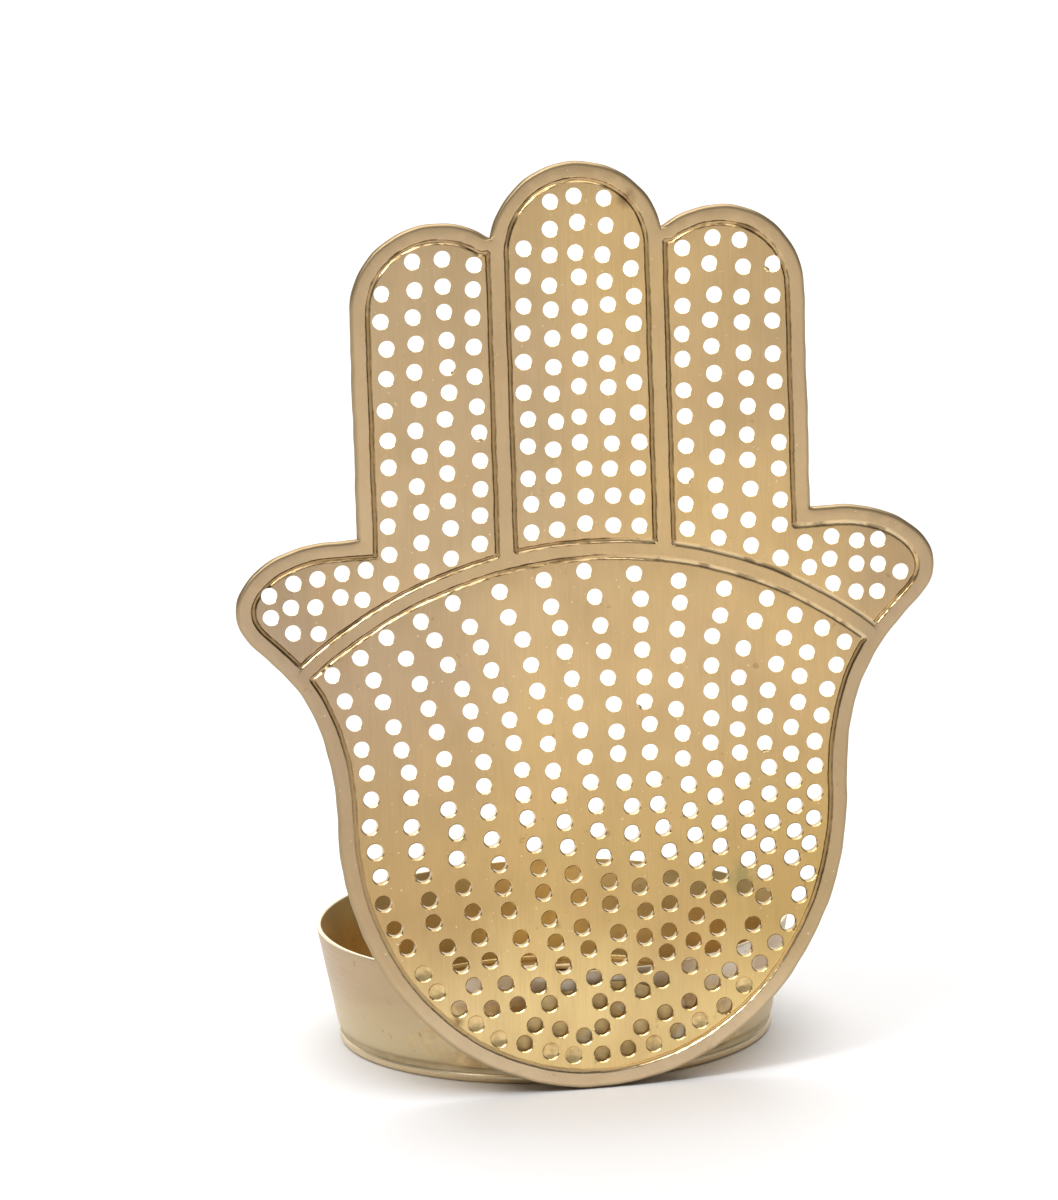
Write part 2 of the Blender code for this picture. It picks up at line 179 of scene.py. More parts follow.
def times(first, *others):
    """The product of numbers, taken one after another."""
    for other in others:
        first = maths("MULTIPLY", first, other)
    return first


def blend(share, first, second, way="MIX"):
    """Mix two colours by a share from 0, the first, to 1, the second."""
    sockets = {"Fac": share}
    for socket, colour in (("Color1", first), ("Color2", second)):
        sockets[socket] = colour if isinstance(colour, bpy.types.NodeSocket) else (*colour, 1.0)
    return add_node("ShaderNodeMixRGB", sockets, blend_type=way).outputs[0]


def coated(colour, *coats):
    """A colour with coats laid over it in turn: each a share, a colour and, at times, a way to mix."""
    for share, coat, *way in coats:
        colour = blend(share, colour, coat, *way)
    return colour


def finish_metal(colour, roughness, height, depth, bare=1.0):
    """Feed a metal's shader: its colour, its roughness, a bump of so much depth from a height, and how far
    it is bare metal."""
    bump = add_node("ShaderNodeBump", {"Height": height, "Strength": 1.0, "Distance": depth}).outputs[0]
    shader = bench["tree"].nodes["Principled BSDF"].inputs
    feeds = {"Base Color": colour, "Roughness": roughness, "Normal": bump, "Metallic": bare}
    for socket, source in feeds.items():
        feed(shader[socket], source)


base_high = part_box("base_disc")[1]
base_radius = base_high.x
base_edge = (base_radius - BASE_EDGE_ROUND, base_high.z - BASE_EDGE_ROUND)
base_under = (base_radius - BASE_UNDER_ROUND, BASE_UNDER_ROUND)
base_ring = base_radius - BASE_STANDING_RING
base_profile = np.vstack(
    [
        [(0, base_high.z)],
        arc(base_edge, BASE_EDGE_ROUND, 90, 0, 5),
        arc(base_under, BASE_UNDER_ROUND, 0, -90, 6),
        [(base_ring, 0), (base_ring - BASE_STANDING_RING, BASE_HOLLOW), (0, BASE_HOLLOW)],
    ]
)

base_brass = new_metal("base_brass")
base_grain = object_noise((240, 6000, 6000))
base_cloud = object_noise(110, 4.0)
base_flat = add_node("ShaderNodeVectorMath", {0: object_place(), 1: (1, 1, 0)}, operation="MULTIPLY")
base_reach = add_node("ShaderNodeVectorMath", {0: base_flat.outputs[0]}, operation="LENGTH")
base_inside = ramp(base_reach.outputs["Value"], BASE_BROWN_REACH + BASE_BROWN_FADE, BASE_BROWN_REACH)
base_browned = times(base_inside, ramp(base_cloud, 0.3, 0.7, 0.45, 0.95))
base_scratched = ramp(base_grain, 0.3, 0.7, 0.0, 0.25)
base_colour = coated(BASE_BRASS, (base_browned, BASE_STAIN), (base_scratched, BASE_GRAIN))
finish_metal(base_colour, ramp(base_cloud, 0.3, 0.7, 0.30, 0.46), base_grain, BASE_BUMP)

base_points = turned(base_profile, BASE_TURNS)
base = add_piece("dressed_base_disc", base_points, grid_faces(base_points), base_brass)
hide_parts("base_disc")

# Cup wall
# The raised side of the cup, spun from sheet brass with its foot rolled in over the base.
# Its front is pressed a little flat where the hand is soldered on, and its inside is browned by flames.
# Its colour holds painted light low on the outside and painted shade in the corner inside.


def mm(*sizes):
    """Sizes in millimetres, as an array in metres."""
    return np.array(sizes) * MM


CUP_TURNS = 288
CUP_WALL = 0.7 * MM
CUP_TAPER = np.radians(10.6)
CUP_FLAT = 0.6 * MM
CUP_FOOT_ROUND = 0.9 * MM
CUP_FOOT_LIP = 1.0 * MM
CUP_SEAM_GAP = 0.3 * MM
CUP_RIM_ROUND = 0.2 * MM
CUP_RIM_WALL = 0.42 * MM
CUP_THINNED = 3.0 * MM
CUP_RIM_WAVE = 0.10 * MM
CUP_DENT = 0.05 * MM
CUP_BRASS = (0.44, 0.325, 0.185)
CUP_PALE = (0.49, 0.365, 0.235)
CUP_INSIDE = (0.80, 0.60, 0.27)
CUP_SOOT = (0.58, 0.42, 0.185)
CUP_CORNER_SHADE = (0.40, 0.29, 0.13)
CUP_LOW_LIT = (0.61, 0.50, 0.305)
CUP_FLUX = (0.80, 0.60, 0.28)
CUP_RUBBED = (0.95, 0.82, 0.60)
CUP_TINNED = (0.78, 0.71, 0.60)
CUP_RIM_FRONT = (0.50, 0.41, 0.28)
CUP_GRAIN = (0.40, 0.28, 0.14)
CUP_FOOT = (0.34, 0.24, 0.11)
CUP_CRUST = (0.56, 0.37, 0.17)
CUP_SPECK = (0.22, 0.14, 0.06)
CUP_BUMP = 0.004 * MM
CUP_FLUX_RAGGED = 2.4 * MM

# Each span is the place where a tint starts and the place where it is full.
CUP_LOW_LIT_SPAN = mm(7.5, 2.5)
CUP_FOOT_SPAN = mm(2.0, 1.3)
CUP_FLUX_SPAN = mm(-14.5, -18.5)
CUP_TINNED_SPAN = mm(8.0, 10.0)
CUP_CORNER_SHADE_SPAN = mm(4.6, 2.4)
CUP_RIM_SPAN = mm(-15.0, -18.5)

cup_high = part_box("cup_wall")[1]
cup_rim_radius = cup_high.x
cup_height = cup_high.z
cup_foot_z = base_high.z + CUP_SEAM_GAP
cup_bend_z = cup_foot_z + CUP_FOOT_ROUND
cup_start_z = cup_bend_z - CUP_FOOT_ROUND * np.sin(CUP_TAPER)
cup_bend_radius = (
    cup_rim_radius - (cup_height - cup_start_z) * np.tan(CUP_TAPER) - CUP_FOOT_ROUND * np.cos(CUP_TAPER)
)
cup_lip_radius = cup_bend_radius - CUP_FOOT_LIP


def cup_outside(height):
    """The round cup's outside radius at a height: the rim's, less the taper's tangent times the drop."""
    return cup_rim_radius - (cup_height - height) * np.tan(CUP_TAPER)


def cup_line(inset, rows):
    """One side of the cup's sheet, from just under the rim down to the rolled lip, moved in by an inset
    that shrinks towards the rim, where the sheet is thinned."""
    bend = CUP_FOOT_ROUND - inset
    foot = arc((cup_bend_radius, cup_bend_z), bend, -np.degrees(CUP_TAPER), -90, 6)
    height = np.linspace(cup_height - CUP_RIM_ROUND, foot[0, 1], rows)[:-1]
    thinned = np.clip((height - cup_height + CUP_THINNED) / CUP_THINNED, 0, 1)
    wall = inset * (1 - thinned * (1 - CUP_RIM_WALL / CUP_WALL))
    side = np.column_stack([cup_outside(height) - wall / np.cos(CUP_TAPER), height])
    return np.vstack([side, foot, [(cup_lip_radius, cup_foot_z + inset)]])


def pressed_flat(points):
    """Press the front of the cup to a flat: no point lies further forward than the flat, plus how deep in
    the sheet the point is."""
    x, y, z = np.moveaxis(points, -1, 0)
    inset = cup_outside(z) - np.hypot(x, y)
    flat = -(cup_rim_radius - CUP_FLAT) + np.maximum(inset, 0)
    foremost = np.where(z > cup_bend_z, np.maximum(y, flat), y)
    return np.stack([x, foremost, z], axis=-1)


cup_outer = cup_line(0.0, 14)
cup_inner = cup_line(CUP_WALL, 14)[::-1]
cup_rim_middle = (cup_inner[-1, 0] + cup_outer[0, 0]) / 2
cup_rim_reach = (cup_outer[0, 0] - cup_inner[-1, 0]) / 2
cup_rim_centre = (cup_rim_middle, cup_height - CUP_RIM_ROUND)
cup_rim = arc(cup_rim_centre, (cup_rim_reach, CUP_RIM_ROUND), 180, 0, 8)[1:-1]
cup_profile = np.vstack([cup_outer, cup_inner, cup_rim])
cup_points = turned(cup_profile, CUP_TURNS)
cup_angle = full_turn(CUP_TURNS)[:, None]
cup_rise = np.clip((cup_profile[:, 1] - cup_bend_z) / (cup_height - cup_bend_z), 0, 1)
cup_wave = 0.5 + 0.25 * np.sin(3 * cup_angle + 0.6) + 0.25 * np.sin(7 * cup_angle + 2.1)
cup_points[..., 2] -= CUP_RIM_WAVE * cup_wave * cup_rise**4
cup_dents = 0.5 + 0.5 * np.sin(5 * cup_angle + 1.2) * np.sin(11 * cup_angle + 0.3)
cup_shrink = 1 - CUP_DENT / cup_rim_radius * cup_dents * cup_rise * (1 - 0.5 * cup_rise)
cup_points[..., :2] *= cup_shrink[..., None]
cup_points = pressed_flat(cup_points)
cup_rows = [len(cup_outer), len(cup_inner), len(cup_rim)]
cup_marks = {"inside": [0.0, 1.0, 0.0], "rim": [0.0, 0.0, 1.0]}
cup_marks = {label: np.tile(np.repeat(sides, cup_rows), CUP_TURNS) for label, sides in cup_marks.items()}


def along(letter):
    """The piece's own X, Y or Z at each point."""
    return add_node("ShaderNodeSeparateXYZ", {0: object_place()}).outputs[letter]


def mark(label):
    """A number kept at each point of the piece's mesh."""
    return add_node("ShaderNodeAttribute", {}, attribute_name=label).outputs["Fac"]


cup_brass = new_metal("spun_brass")
cup_up = along("Z")
cup_deep = along("Y")
cup_grain = object_noise((300, 300, 7000), 2.0)
cup_cloud = object_noise((70, 70, 90), 4.0)
cup_speck = object_noise(900, 5.0)
cup_inside = ramp(mark("inside"), 0.35, 0.75)
cup_ragged = ramp(object_noise(330, 4.0), 0.3, 0.7, -CUP_FLUX_RAGGED, CUP_FLUX_RAGGED)
cup_fluxed = ramp(maths("ADD", cup_deep, cup_ragged), *CUP_FLUX_SPAN)
cup_fluxed = times(cup_fluxed, ramp(cup_inside, 0.0, 1.0, 1.0, 0.0))
cup_crust = blend(ramp(cup_speck, 0.35, 0.6), CUP_FLUX, CUP_CRUST)
cup_crust = blend(ramp(cup_up, *CUP_TINNED_SPAN), cup_crust, CUP_TINNED)
cup_flame_and_corner_shade = blend(ramp(cup_cloud, 0.4, 0.65), CUP_INSIDE, CUP_SOOT)
# The inside's bottom corner is darkened: painted shade over the flame browning.
cup_flame_and_corner_shade = blend(ramp(cup_up, *CUP_CORNER_SHADE_SPAN, 0.0, 0.85), cup_flame_and_corner_shade, CUP_CORNER_SHADE)
cup_rim_metal = blend(ramp(cup_deep, *CUP_RIM_SPAN), CUP_RUBBED, CUP_RIM_FRONT)
cup_colour = coated(
    CUP_BRASS,
    (ramp(cup_cloud, 0.35, 0.65), CUP_PALE),
    (ramp(cup_grain, 0.35, 0.7, 0.0, 0.10), CUP_GRAIN),
    # Paler, greener brass towards the foot: painted light on the lower wall.
    (ramp(cup_up, *CUP_LOW_LIT_SPAN), CUP_LOW_LIT),
    (ramp(cup_up, *CUP_FOOT_SPAN, 0.0, 0.2), CUP_FOOT),
    (cup_fluxed, cup_crust),
    (cup_inside, cup_flame_and_corner_shade),
    (ramp(cup_speck, 0.66, 0.74, 0.0, 0.5), CUP_SPECK),
    (times(mark("rim"), 0.9), cup_rim_metal),
)
cup_rough = maths("ADD", ramp(cup_cloud, 0.3, 0.7, 0.32, 0.44), ramp(cup_grain, 0.3, 0.7, -0.04, 0.06))
finish_metal(cup_colour, cup_rough, cup_grain, CUP_BUMP, ramp(cup_fluxed, 0.0, 1.0, 1.0, 0.15))

cup_faces = grid_faces(cup_points, True)
cup = add_piece("dressed_cup_wall", cup_points, cup_faces, cup_brass, cup_marks)
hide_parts("cup_wall")

# Seam solder
# The bead of soft solder run round inside the cup with an iron, where the wall's lip meets the base.
# It has set in uneven lumps, and flux has left it dull.

BEAD_TURNS = 360
BEAD_SIDES = 14
BEAD_LUMP = 0.22
SOLDER_GREY = (0.56, 0.45, 0.28)
SOLDER_FLUX = (0.40, 0.27, 0.12)
SOLDER_BUMP = 0.04 * MM

bead_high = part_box("base_seam_solder")[1]
bead_half_height = (bead_high.z - base_high.z) / 2
bead_outside = bead_high.x


def solder_bead():
    """A half-round section carried round the cup's corner. The section is an ellipse whose size swells and
    sinks along the way by a sum of three sines of the angle."""
    around = full_turn(BEAD_TURNS)[:, None]
    section = -full_turn(BEAD_SIDES)
    swell = 0.5 + 0.2 * np.sin(9 * around) + 0.2 * np.sin(23 * around + 1) + 0.1 * np.sin(41 * around)
    half = bead_half_height * (1 - BEAD_LUMP * swell)
    radius = bead_outside - half + half * np.cos(section)
    return round_z(radius, base_high.z + half + half * np.sin(section), around)


soft_solder = new_metal("soft_solder")
solder_cloud = object_noise(500, 4.0)
solder_fine = object_noise(2200)
solder_colour = blend(ramp(solder_cloud, 0.45, 0.7), SOLDER_GREY, SOLDER_FLUX)
finish_metal(solder_colour, ramp(solder_fine, 0.3, 0.7, 0.50, 0.66), solder_fine, SOLDER_BUMP)

bead_points = solder_bead()
bead_faces = grid_faces(bead_points, True)
bead = add_piece("dressed_seam_solder", bead_points, bead_faces, soft_solder)
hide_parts("base_seam_solder")

# Foot solder
# The solder that the heat drew out between the cup's foot and the base, wiped off nearly flush.
# It fills the seam all round the foot and shows as a thin dull line.

FOOT_SOLDER_RECESS = 0.10 * MM
FOOT_SOLDER_DEEP = 0.5 * MM
FOOT_SOLDER_WANDER = 0.05 * MM
FOOT_SOLDER_SINK = 0.04 * MM
FOOT_SOLDER_RISE = 0.62 * MM
FOOT_SOLDER_HOLLOW = 0.12 * MM
FOOT_SOLDER_DULL = (0.44, 0.35, 0.20)
FOOT_SOLDER_PALE = (0.60, 0.49, 0.31)
FOOT_SOLDER_BUMP = 0.03 * MM


def foot_solder():
    """A five-cornered section carried round the foot, from the base's top up to the side of the foot's
    roll. Its outer side is a little hollow, and wanders in and out by a sum of two sines of the angle."""
    around = full_turn(BEAD_TURNS)[:, None]
    wander = FOOT_SOLDER_WANDER * (np.sin(13 * around) + np.sin(31 * around + 2)) / 2
    outer = base_radius - FOOT_SOLDER_RECESS + wander
    inner = np.full_like(outer, cup_bend_radius - FOOT_SOLDER_DEEP)
    low = np.full_like(outer, base_high.z - FOOT_SOLDER_SINK)
    high = np.full_like(outer, base_high.z + FOOT_SOLDER_RISE)
    roll = cup_bend_radius + np.sqrt(CUP_FOOT_ROUND**2 - (cup_bend_z - high) ** 2)
    radius = np.hstack([inner, roll, (roll + outer) / 2 - FOOT_SOLDER_HOLLOW, outer, inner])
    return round_z(radius, np.hstack([high, high, (high + low) / 2, low, low]), around)


foot_metal = new_metal("foot_solder")
foot_cloud = object_noise(260, 4.0)
foot_colour = blend(ramp(foot_cloud, 0.35, 0.65), FOOT_SOLDER_DULL, FOOT_SOLDER_PALE)
finish_metal(foot_colour, ramp(foot_cloud, 0.3, 0.7, 0.38, 0.5), foot_cloud, FOOT_SOLDER_BUMP)
foot_points = foot_solder()
foot_faces = grid_faces(foot_points, True)
add_piece("foot_solder", foot_points, foot_faces, foot_metal, None, 70)

# Hand plate
# The hand, sawn from sheet brass, brushed upright, filed round its edge, chased with grooves and drilled.
# Its low holes are countersunk, and its grooves are worn low on the left and lightly cut at the right.
# It stands on its bottom edge in front of the cup and is soldered to it there.
# Its colour holds painted light: a lit lower part, glints and highlights, and shade on thumbs, grooves and
# low hole walls.

PALM_HALF_WIDTH = 25.2 * MM
BOWL_HEIGHT = 28.2 * MM
PALM_FLARE = 16.5 * MM
THUMB_TURN = 5.0 * MM
THUMB_TIP = mm(34.4, 49.8)
THUMB_START_X = 24.5 * MM
THUMB_ROUND_RISE = 6.5 * MM
FINGER_EDGE_X = 22.3 * MM
VALLEY = mm(8.4, 84.9)
SIDE_TIP_ROUND = 8.5 * MM
SIDE_TIP_RISE = 1.75 * MM
MIDDLE_TIP_RISE = 6.9 * MM
BORDER = 1.75 * MM
MIDDLE_LINE_X = 6.85 * MM
SIDE_LINE_X = 8.65 * MM
ARCH_RADIUS = 43.8 * MM
ARCH_BAND = 1.65 * MM
HOLE_RADIUS = 0.775 * MM
HOLE_SIDES = 16
SAME_HOLE = 0.1 * MM
HOLE_FEWEST_WALLS = 8
HOLE_OVAL = 0.02
HOLE_REAM = 0.018 * MM
HOLE_SPREAD = 0.012
HOLE_MARGIN = 0.06 * MM
SUNK_BELOW = 35 * MM
SUNK_FADE = 6 * MM
SUNK_LEAST = 0.33
LIP_ROWS = mm(0.0, 0.06, 0.12)
LIP_FALL = mm(0.10, 0.05, 0.0)
LIP_ROWS_BACK = mm(-0.02, 0.01, 0.04)
GROOVE_DEPTH = 0.15 * MM
GROOVE_FLOOR = 0.09 * MM
GROOVE_EDGE = 0.27 * MM
GROOVE_SPACING = 0.05 * MM
WORN_BELOW = 42 * MM
WORN_RIGHT = 6 * MM
WORN_FADE_UP = 20 * MM
WORN_FADE_RIGHT = 9 * MM
WORN_SHALLOW = 0.68
PAINTED_GLINT_BELOW = 19.5 * MM
PAINTED_GLINT_FADE = 5 * MM
CHISEL_STROKE = 0.9 * MM
STROKE_LEAST = 0.82
GROOVE_WANDER = 0.018 * MM
LINES_STAMPED = [0, 1, 0, 0, 1, 0, 1, 1, 1, 0, 1, 0, 0, 1, 0, 0, 1]
ARCH_LINES = [1, 6, 7]
RIGHT_THUMB_LINE = 8
LIGHT_FADE_RIGHT = 9 * MM
LIGHT_FADE_UP = 2.5 * MM
LIGHT_SHALLOW = 0.5
OUTLINE_WANDER = 0.03 * MM
OUTLINE_STEP = 0.40 * MM
GROOVE_STEP = 0.36 * MM
POINTS_AT_A_TIME = 2000
FILL_STEP = 0.85 * MM
FILL_COLUMNS = 41
FILL_ROWS = 130
EDGE_ROWS = mm(0.0, 0.07, 0.18, 0.40)
EDGE_FALL_FRONT = mm(0.28, 0.13, 0.04, 0.0)
EDGE_FALL_BACK = mm(0.14, 0.04, 0.0, 0.0)
GROOVE_HALF = mm(0.09, 0.15, 0.21, 0.27, 0.36)
GROOVE_ROWS = np.concatenate([-GROOVE_HALF[::-1], [0.0], GROOVE_HALF])
EDGE_BAND = 0.45 * MM
FILED_FADE = 0.6
FRONT_SETBACK = 0.10 * MM
PILLOW = 0.05 * MM
PILLOW_WIDE = 2.5 * MM
BORDER_PILLOW = 0.4
SHEET_WAVE = 0.025 * MM
BACK_RIDGE = 0.05 * MM

thumb_top_z = THUMB_TIP[1] + THUMB_ROUND_RISE
side_tip_z = VALLEY[1] + SIDE_TIP_RISE
middle_tip_z = VALLEY[1] + MIDDLE_TIP_RISE
side_top_x = FINGER_EDGE_X - SIDE_TIP_ROUND
side_top_reach = side_top_x - VALLEY[0]
side_top_radius = (side_top_reach**2 + SIDE_TIP_RISE**2) / (2 * SIDE_TIP_RISE)
middle_radius = (VALLEY[0] ** 2 + MIDDLE_TIP_RISE**2) / (2 * MIDDLE_TIP_RISE)
arch_centre_z = thumb_top_z - BORDER - ARCH_RADIUS


def run_along(path):
    """The length run along a path at each of its points: the sum of the steps before it."""
    return np.concatenate([[0], np.cumsum(np.linalg.norm(np.diff(path, axis=0), axis=1))])


def even(path, step):
    """Points set evenly along a path by its length, about a step apart, with both ends kept."""
    run = run_along(path)
    at = np.linspace(0, run[-1], max(round(run[-1] / step), 1) + 1)
    return np.column_stack([np.interp(at, run, path[:, 0]), np.interp(at, run, path[:, 1])])


def bezier(p0, p1, p2, p3, steps):
    """Points of a cubic curve: each corner weighted by its Bernstein polynomial."""
    t = np.linspace(0, 1, steps + 1)[:, None]
    p0, p1, p2, p3 = (np.array(p) for p in (p0, p1, p2, p3))
    return (1 - t) ** 3 * p0 + 3 * t * (1 - t) ** 2 * p1 + 3 * t**2 * (1 - t) * p2 + t**3 * p3


def leftwards(path, closed):
    """The unit normal on the left of a path at each point, from the chord between its neighbours."""
    if closed:
        chord = np.roll(path, -1, axis=0) - np.roll(path, 1, axis=0)
    else:
        chord = np.gradient(path, axis=0)
    chord /= np.linalg.norm(chord, axis=1, keepdims=True)
    return np.column_stack([-chord[:, 1], chord[:, 0]])


def joined(*paths):
    """Paths end to end, without the point that each shares with the one before it."""
    return np.vstack([paths[0]] + [path[1:] for path in paths[1:]])


def mirrored(path):
    """A path on the other side of the hand: X with its sign changed, run the other way."""
    return path[::-1] * (-1, 1)


def wandering(line):
    """A line drawn by hand: moved to its left by a sum of two sines of the length run along it."""
    run = run_along(line)
    phase = 900 * line[0, 0] + 700 * line[-1, 1]
    sway = np.sin(run / (1.5 * MM) + phase) + 0.6 * np.sin(run / (0.55 * MM) + 2 * phase)
    return line + leftwards(line, False) * GROOVE_WANDER * sway[:, None]


bowl = arc((0, BOWL_HEIGHT), (PALM_HALF_WIDTH, BOWL_HEIGHT), -90, 0, 80)
flare = bezier(
    (PALM_HALF_WIDTH, BOWL_HEIGHT),
    (PALM_HALF_WIDTH, BOWL_HEIGHT + PALM_FLARE),
    (THUMB_TIP[0], THUMB_TIP[1] - THUMB_TURN),
    THUMB_TIP,
    60,
)
thumb = arc((THUMB_START_X, THUMB_TIP[1]), (THUMB_TIP[0] - THUMB_START_X, THUMB_ROUND_RISE), 0, 90, 40)
finger_root = np.array([(FINGER_EDGE_X, thumb_top_z)])
side_round = arc((side_top_x, side_tip_z - SIDE_TIP_ROUND), SIDE_TIP_ROUND, 0, 90, 40)
side_lean = np.degrees(np.arcsin(side_top_reach / side_top_radius))
side_top = arc((side_top_x, side_tip_z - side_top_radius), side_top_radius, 90, 90 + side_lean, 20)
middle_start = np.degrees(np.arctan2(middle_radius - MIDDLE_TIP_RISE, VALLEY[0]))
middle_arc = arc((0, middle_tip_z - middle_radius), middle_radius, middle_start, 90, 40)
outline_right = joined(
    even(np.vstack([joined(bowl, flare, thumb), finger_root]), OUTLINE_STEP),
    even(np.vstack([finger_root, joined(side_round, side_top)]), OUTLINE_STEP),
    even(middle_arc, OUTLINE_STEP),
)
outline = np.vstack([outline_right, mirrored(outline_right)[1:-1]])
turn = full_turn(len(outline))
outline_sway = np.sin(23 * turn) + 0.6 * np.sin(57 * turn + 1) + 0.4 * np.sin(101 * turn + 2)
outline = outline + leftwards(outline, True) * (OUTLINE_WANDER * (1.5 + outline_sway))[:, None]


def arch_reach(path):
    """How far each point of a path lies from the arched line's centre."""
    return np.hypot(path[:, 0], path[:, 1] - arch_centre_z)


def arch_between(first, last, drop):
    """The arched line from one point's bearing to another's: a circle about its centre, or one that is a
    drop smaller."""
    bearing = [np.degrees(np.arctan2(p[1] - arch_centre_z, p[0])) for p in (first, last)]
    return arc((0, arch_centre_z), ARCH_RADIUS - drop, *bearing, 80)


def inset(path, distance):
    """A path moved to its left by a distance."""
    return path + leftwards(path, False) * distance


palm_right = inset(joined(bowl, flare), BORDER)
palm_right = palm_right[arch_reach(palm_right) < ARCH_RADIUS - ARCH_BAND]
palm_arch = arch_between(palm_right[-1], mirrored(palm_right)[0], ARCH_BAND)
palm_lines = [palm_right, palm_arch, mirrored(palm_right)]

middle_top = arc((0, middle_tip_z - BORDER - MIDDLE_LINE_X), MIDDLE_LINE_X, 0, 180, 60)
middle_foot_z = arch_centre_z + np.sqrt(ARCH_RADIUS**2 - MIDDLE_LINE_X**2)
middle_foot = np.array([(MIDDLE_LINE_X, middle_foot_z)])
middle_lines = [
    np.vstack([middle_foot, middle_top[:1]]),
    middle_top,
    np.vstack([middle_top[-1:], middle_foot * (-1, 1)]),
    arch_between((-MIDDLE_LINE_X, middle_foot_z), middle_foot[0], 0),
]

side_corner = np.array([(FINGER_EDGE_X - BORDER, thumb_top_z - BORDER)])
side_inner_top = inset(side_top, BORDER)
side_inner_top = side_inner_top[side_inner_top[:, 0] > SIDE_LINE_X]
side_crown = joined(inset(side_round, BORDER), side_inner_top)
side_crown = np.vstack([side_crown, [(SIDE_LINE_X, side_crown[-1, 1])]])
side_foot_z = arch_centre_z + np.sqrt(ARCH_RADIUS**2 - SIDE_LINE_X**2)
thumb_line = inset(joined(flare, thumb), BORDER)
thumb_line = thumb_line[(arch_reach(thumb_line) > ARCH_RADIUS) & (thumb_line[:, 1] > BOWL_HEIGHT)]
side_lines = [
    arch_between((SIDE_LINE_X, side_foot_z), thumb_line[0], 0),
    np.vstack([thumb_line, side_corner]),
    np.vstack([side_corner, side_crown[:1]]),
    side_crown,
    np.vstack([side_crown[-1:], [(SIDE_LINE_X, side_foot_z)]]),
]
panels = [palm_lines, middle_lines, side_lines, [mirrored(line) for line in side_lines[::-1]]]
panel_loops = [np.vstack([even(line, GROOVE_STEP) for line in lines]) for lines in panels]
groove_lines = [wandering(even(line, GROOVE_STEP)) for lines in panels for line in lines]


def nearest(points, starts, ends):
    """For each point, the distance to the closest of many straight runs, that run's index, and how far
    along it the foot of the perpendicular lies. Points are taken some at a time to save memory."""
    run = ends - starts
    square = np.maximum((run**2).sum(axis=1), 1e-18)
    found = []
    for some in np.array_split(points, len(points) // POINTS_AT_A_TIME + 1):
        away = some[:, None, :] - starts
        share = np.clip((away * run).sum(axis=2) / square, 0, 1)
        gap = np.linalg.norm(away - share[..., None] * run, axis=2)
        pick = gap.argmin(axis=1)
        row = np.arange(len(some))
        found.append(np.column_stack([gap[row, pick], pick, share[row, pick]]))
    distance, pick, share = np.vstack(found).T
    return distance, pick.astype(int), share


def inside(points, loop):
    """Whether each point lies in a closed loop: a ray to its right crosses the loop an odd number of
    times."""
    ends = np.roll(loop, -1, axis=0)
    found = []
    for some in np.array_split(points, len(points) // POINTS_AT_A_TIME + 1):
        x, z = some[:, :1], some[:, 1:]
        crosses = (loop[:, 1] > z) != (ends[:, 1] > z)
        rise = np.where(ends[:, 1] == loop[:, 1], 1.0, ends[:, 1] - loop[:, 1])
        reach = loop[:, 0] + (z - loop[:, 1]) * (ends[:, 0] - loop[:, 0]) / rise
        found.append((crosses & (x < reach)).sum(axis=1) % 2 == 1)
    return np.concatenate(found)


def hole_centres():
    """Where the holes are drilled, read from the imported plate. Each wall of a six-sided hole faces its
    centre, one apothem away, so the walls of one hole all point at the same place."""
    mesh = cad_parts["hand_plate"].data
    mesh.calc_loop_triangles()
    corners = np.empty(len(mesh.loop_triangles) * 3, np.int32)
    mesh.loop_triangles.foreach_get("vertices", corners)
    points = np.empty(len(mesh.vertices) * 3, np.float32)
    mesh.vertices.foreach_get("co", points)
    triangle = points.reshape(-1, 3)[corners.reshape(-1, 3)].astype(float)
    facing = np.cross(triangle[:, 1] - triangle[:, 0], triangle[:, 2] - triangle[:, 0])
    facing /= np.maximum(np.linalg.norm(facing, axis=1, keepdims=True), 1e-12)
    wall = np.abs(facing[:, 1]) < 0.5
    middle = (triangle[wall].min(axis=1) + triangle[wall].max(axis=1)) / 2
    apothem = HOLE_RADIUS * np.sqrt(2 * np.pi / (6 * np.sin(np.pi / 3))) * np.cos(np.pi / 6)
    aimed = (middle + facing[wall] * apothem)[:, [0, 2]]
    close = np.linalg.norm(aimed[:, None] - aimed, axis=2) < SAME_HOLE
    first = close.argmax(axis=1) == np.arange(len(aimed))
    return aimed[first & (close.sum(axis=1) >= HOLE_FEWEST_WALLS)]


plate_low, plate_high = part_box("hand_plate")
front_y = plate_low.y + FRONT_SETBACK
back_y = plate_high.y
foot = np.array([0, plate_low.z])
holes = hole_centres() - foot

chance = np.random.default_rng(7)
hole_angle = full_turn(HOLE_SIDES)
hole_phase = chance.uniform(0, 2 * np.pi, (len(holes), 1))
hole_spread = chance.normal(0, HOLE_SPREAD, (len(holes), 1))
hole_size = 1 + HOLE_OVAL * np.sin(2 * hole_angle + hole_phase) + hole_spread
hole_size = HOLE_RADIUS * hole_size + HOLE_REAM
hole_bearing = np.stack([np.cos(hole_angle), np.sin(hole_angle)], axis=-1)
hole_sunk = np.clip((SUNK_BELOW - holes[:, 1:]) / SUNK_FADE, SUNK_LEAST, 1)
lips = holes[:, None] + hole_bearing * (hole_size + LIP_ROWS[:, None, None] * hole_sunk)[..., None]
lips_back = holes[:, None] + hole_bearing * (hole_size + LIP_ROWS_BACK[:, None, None])[..., None]

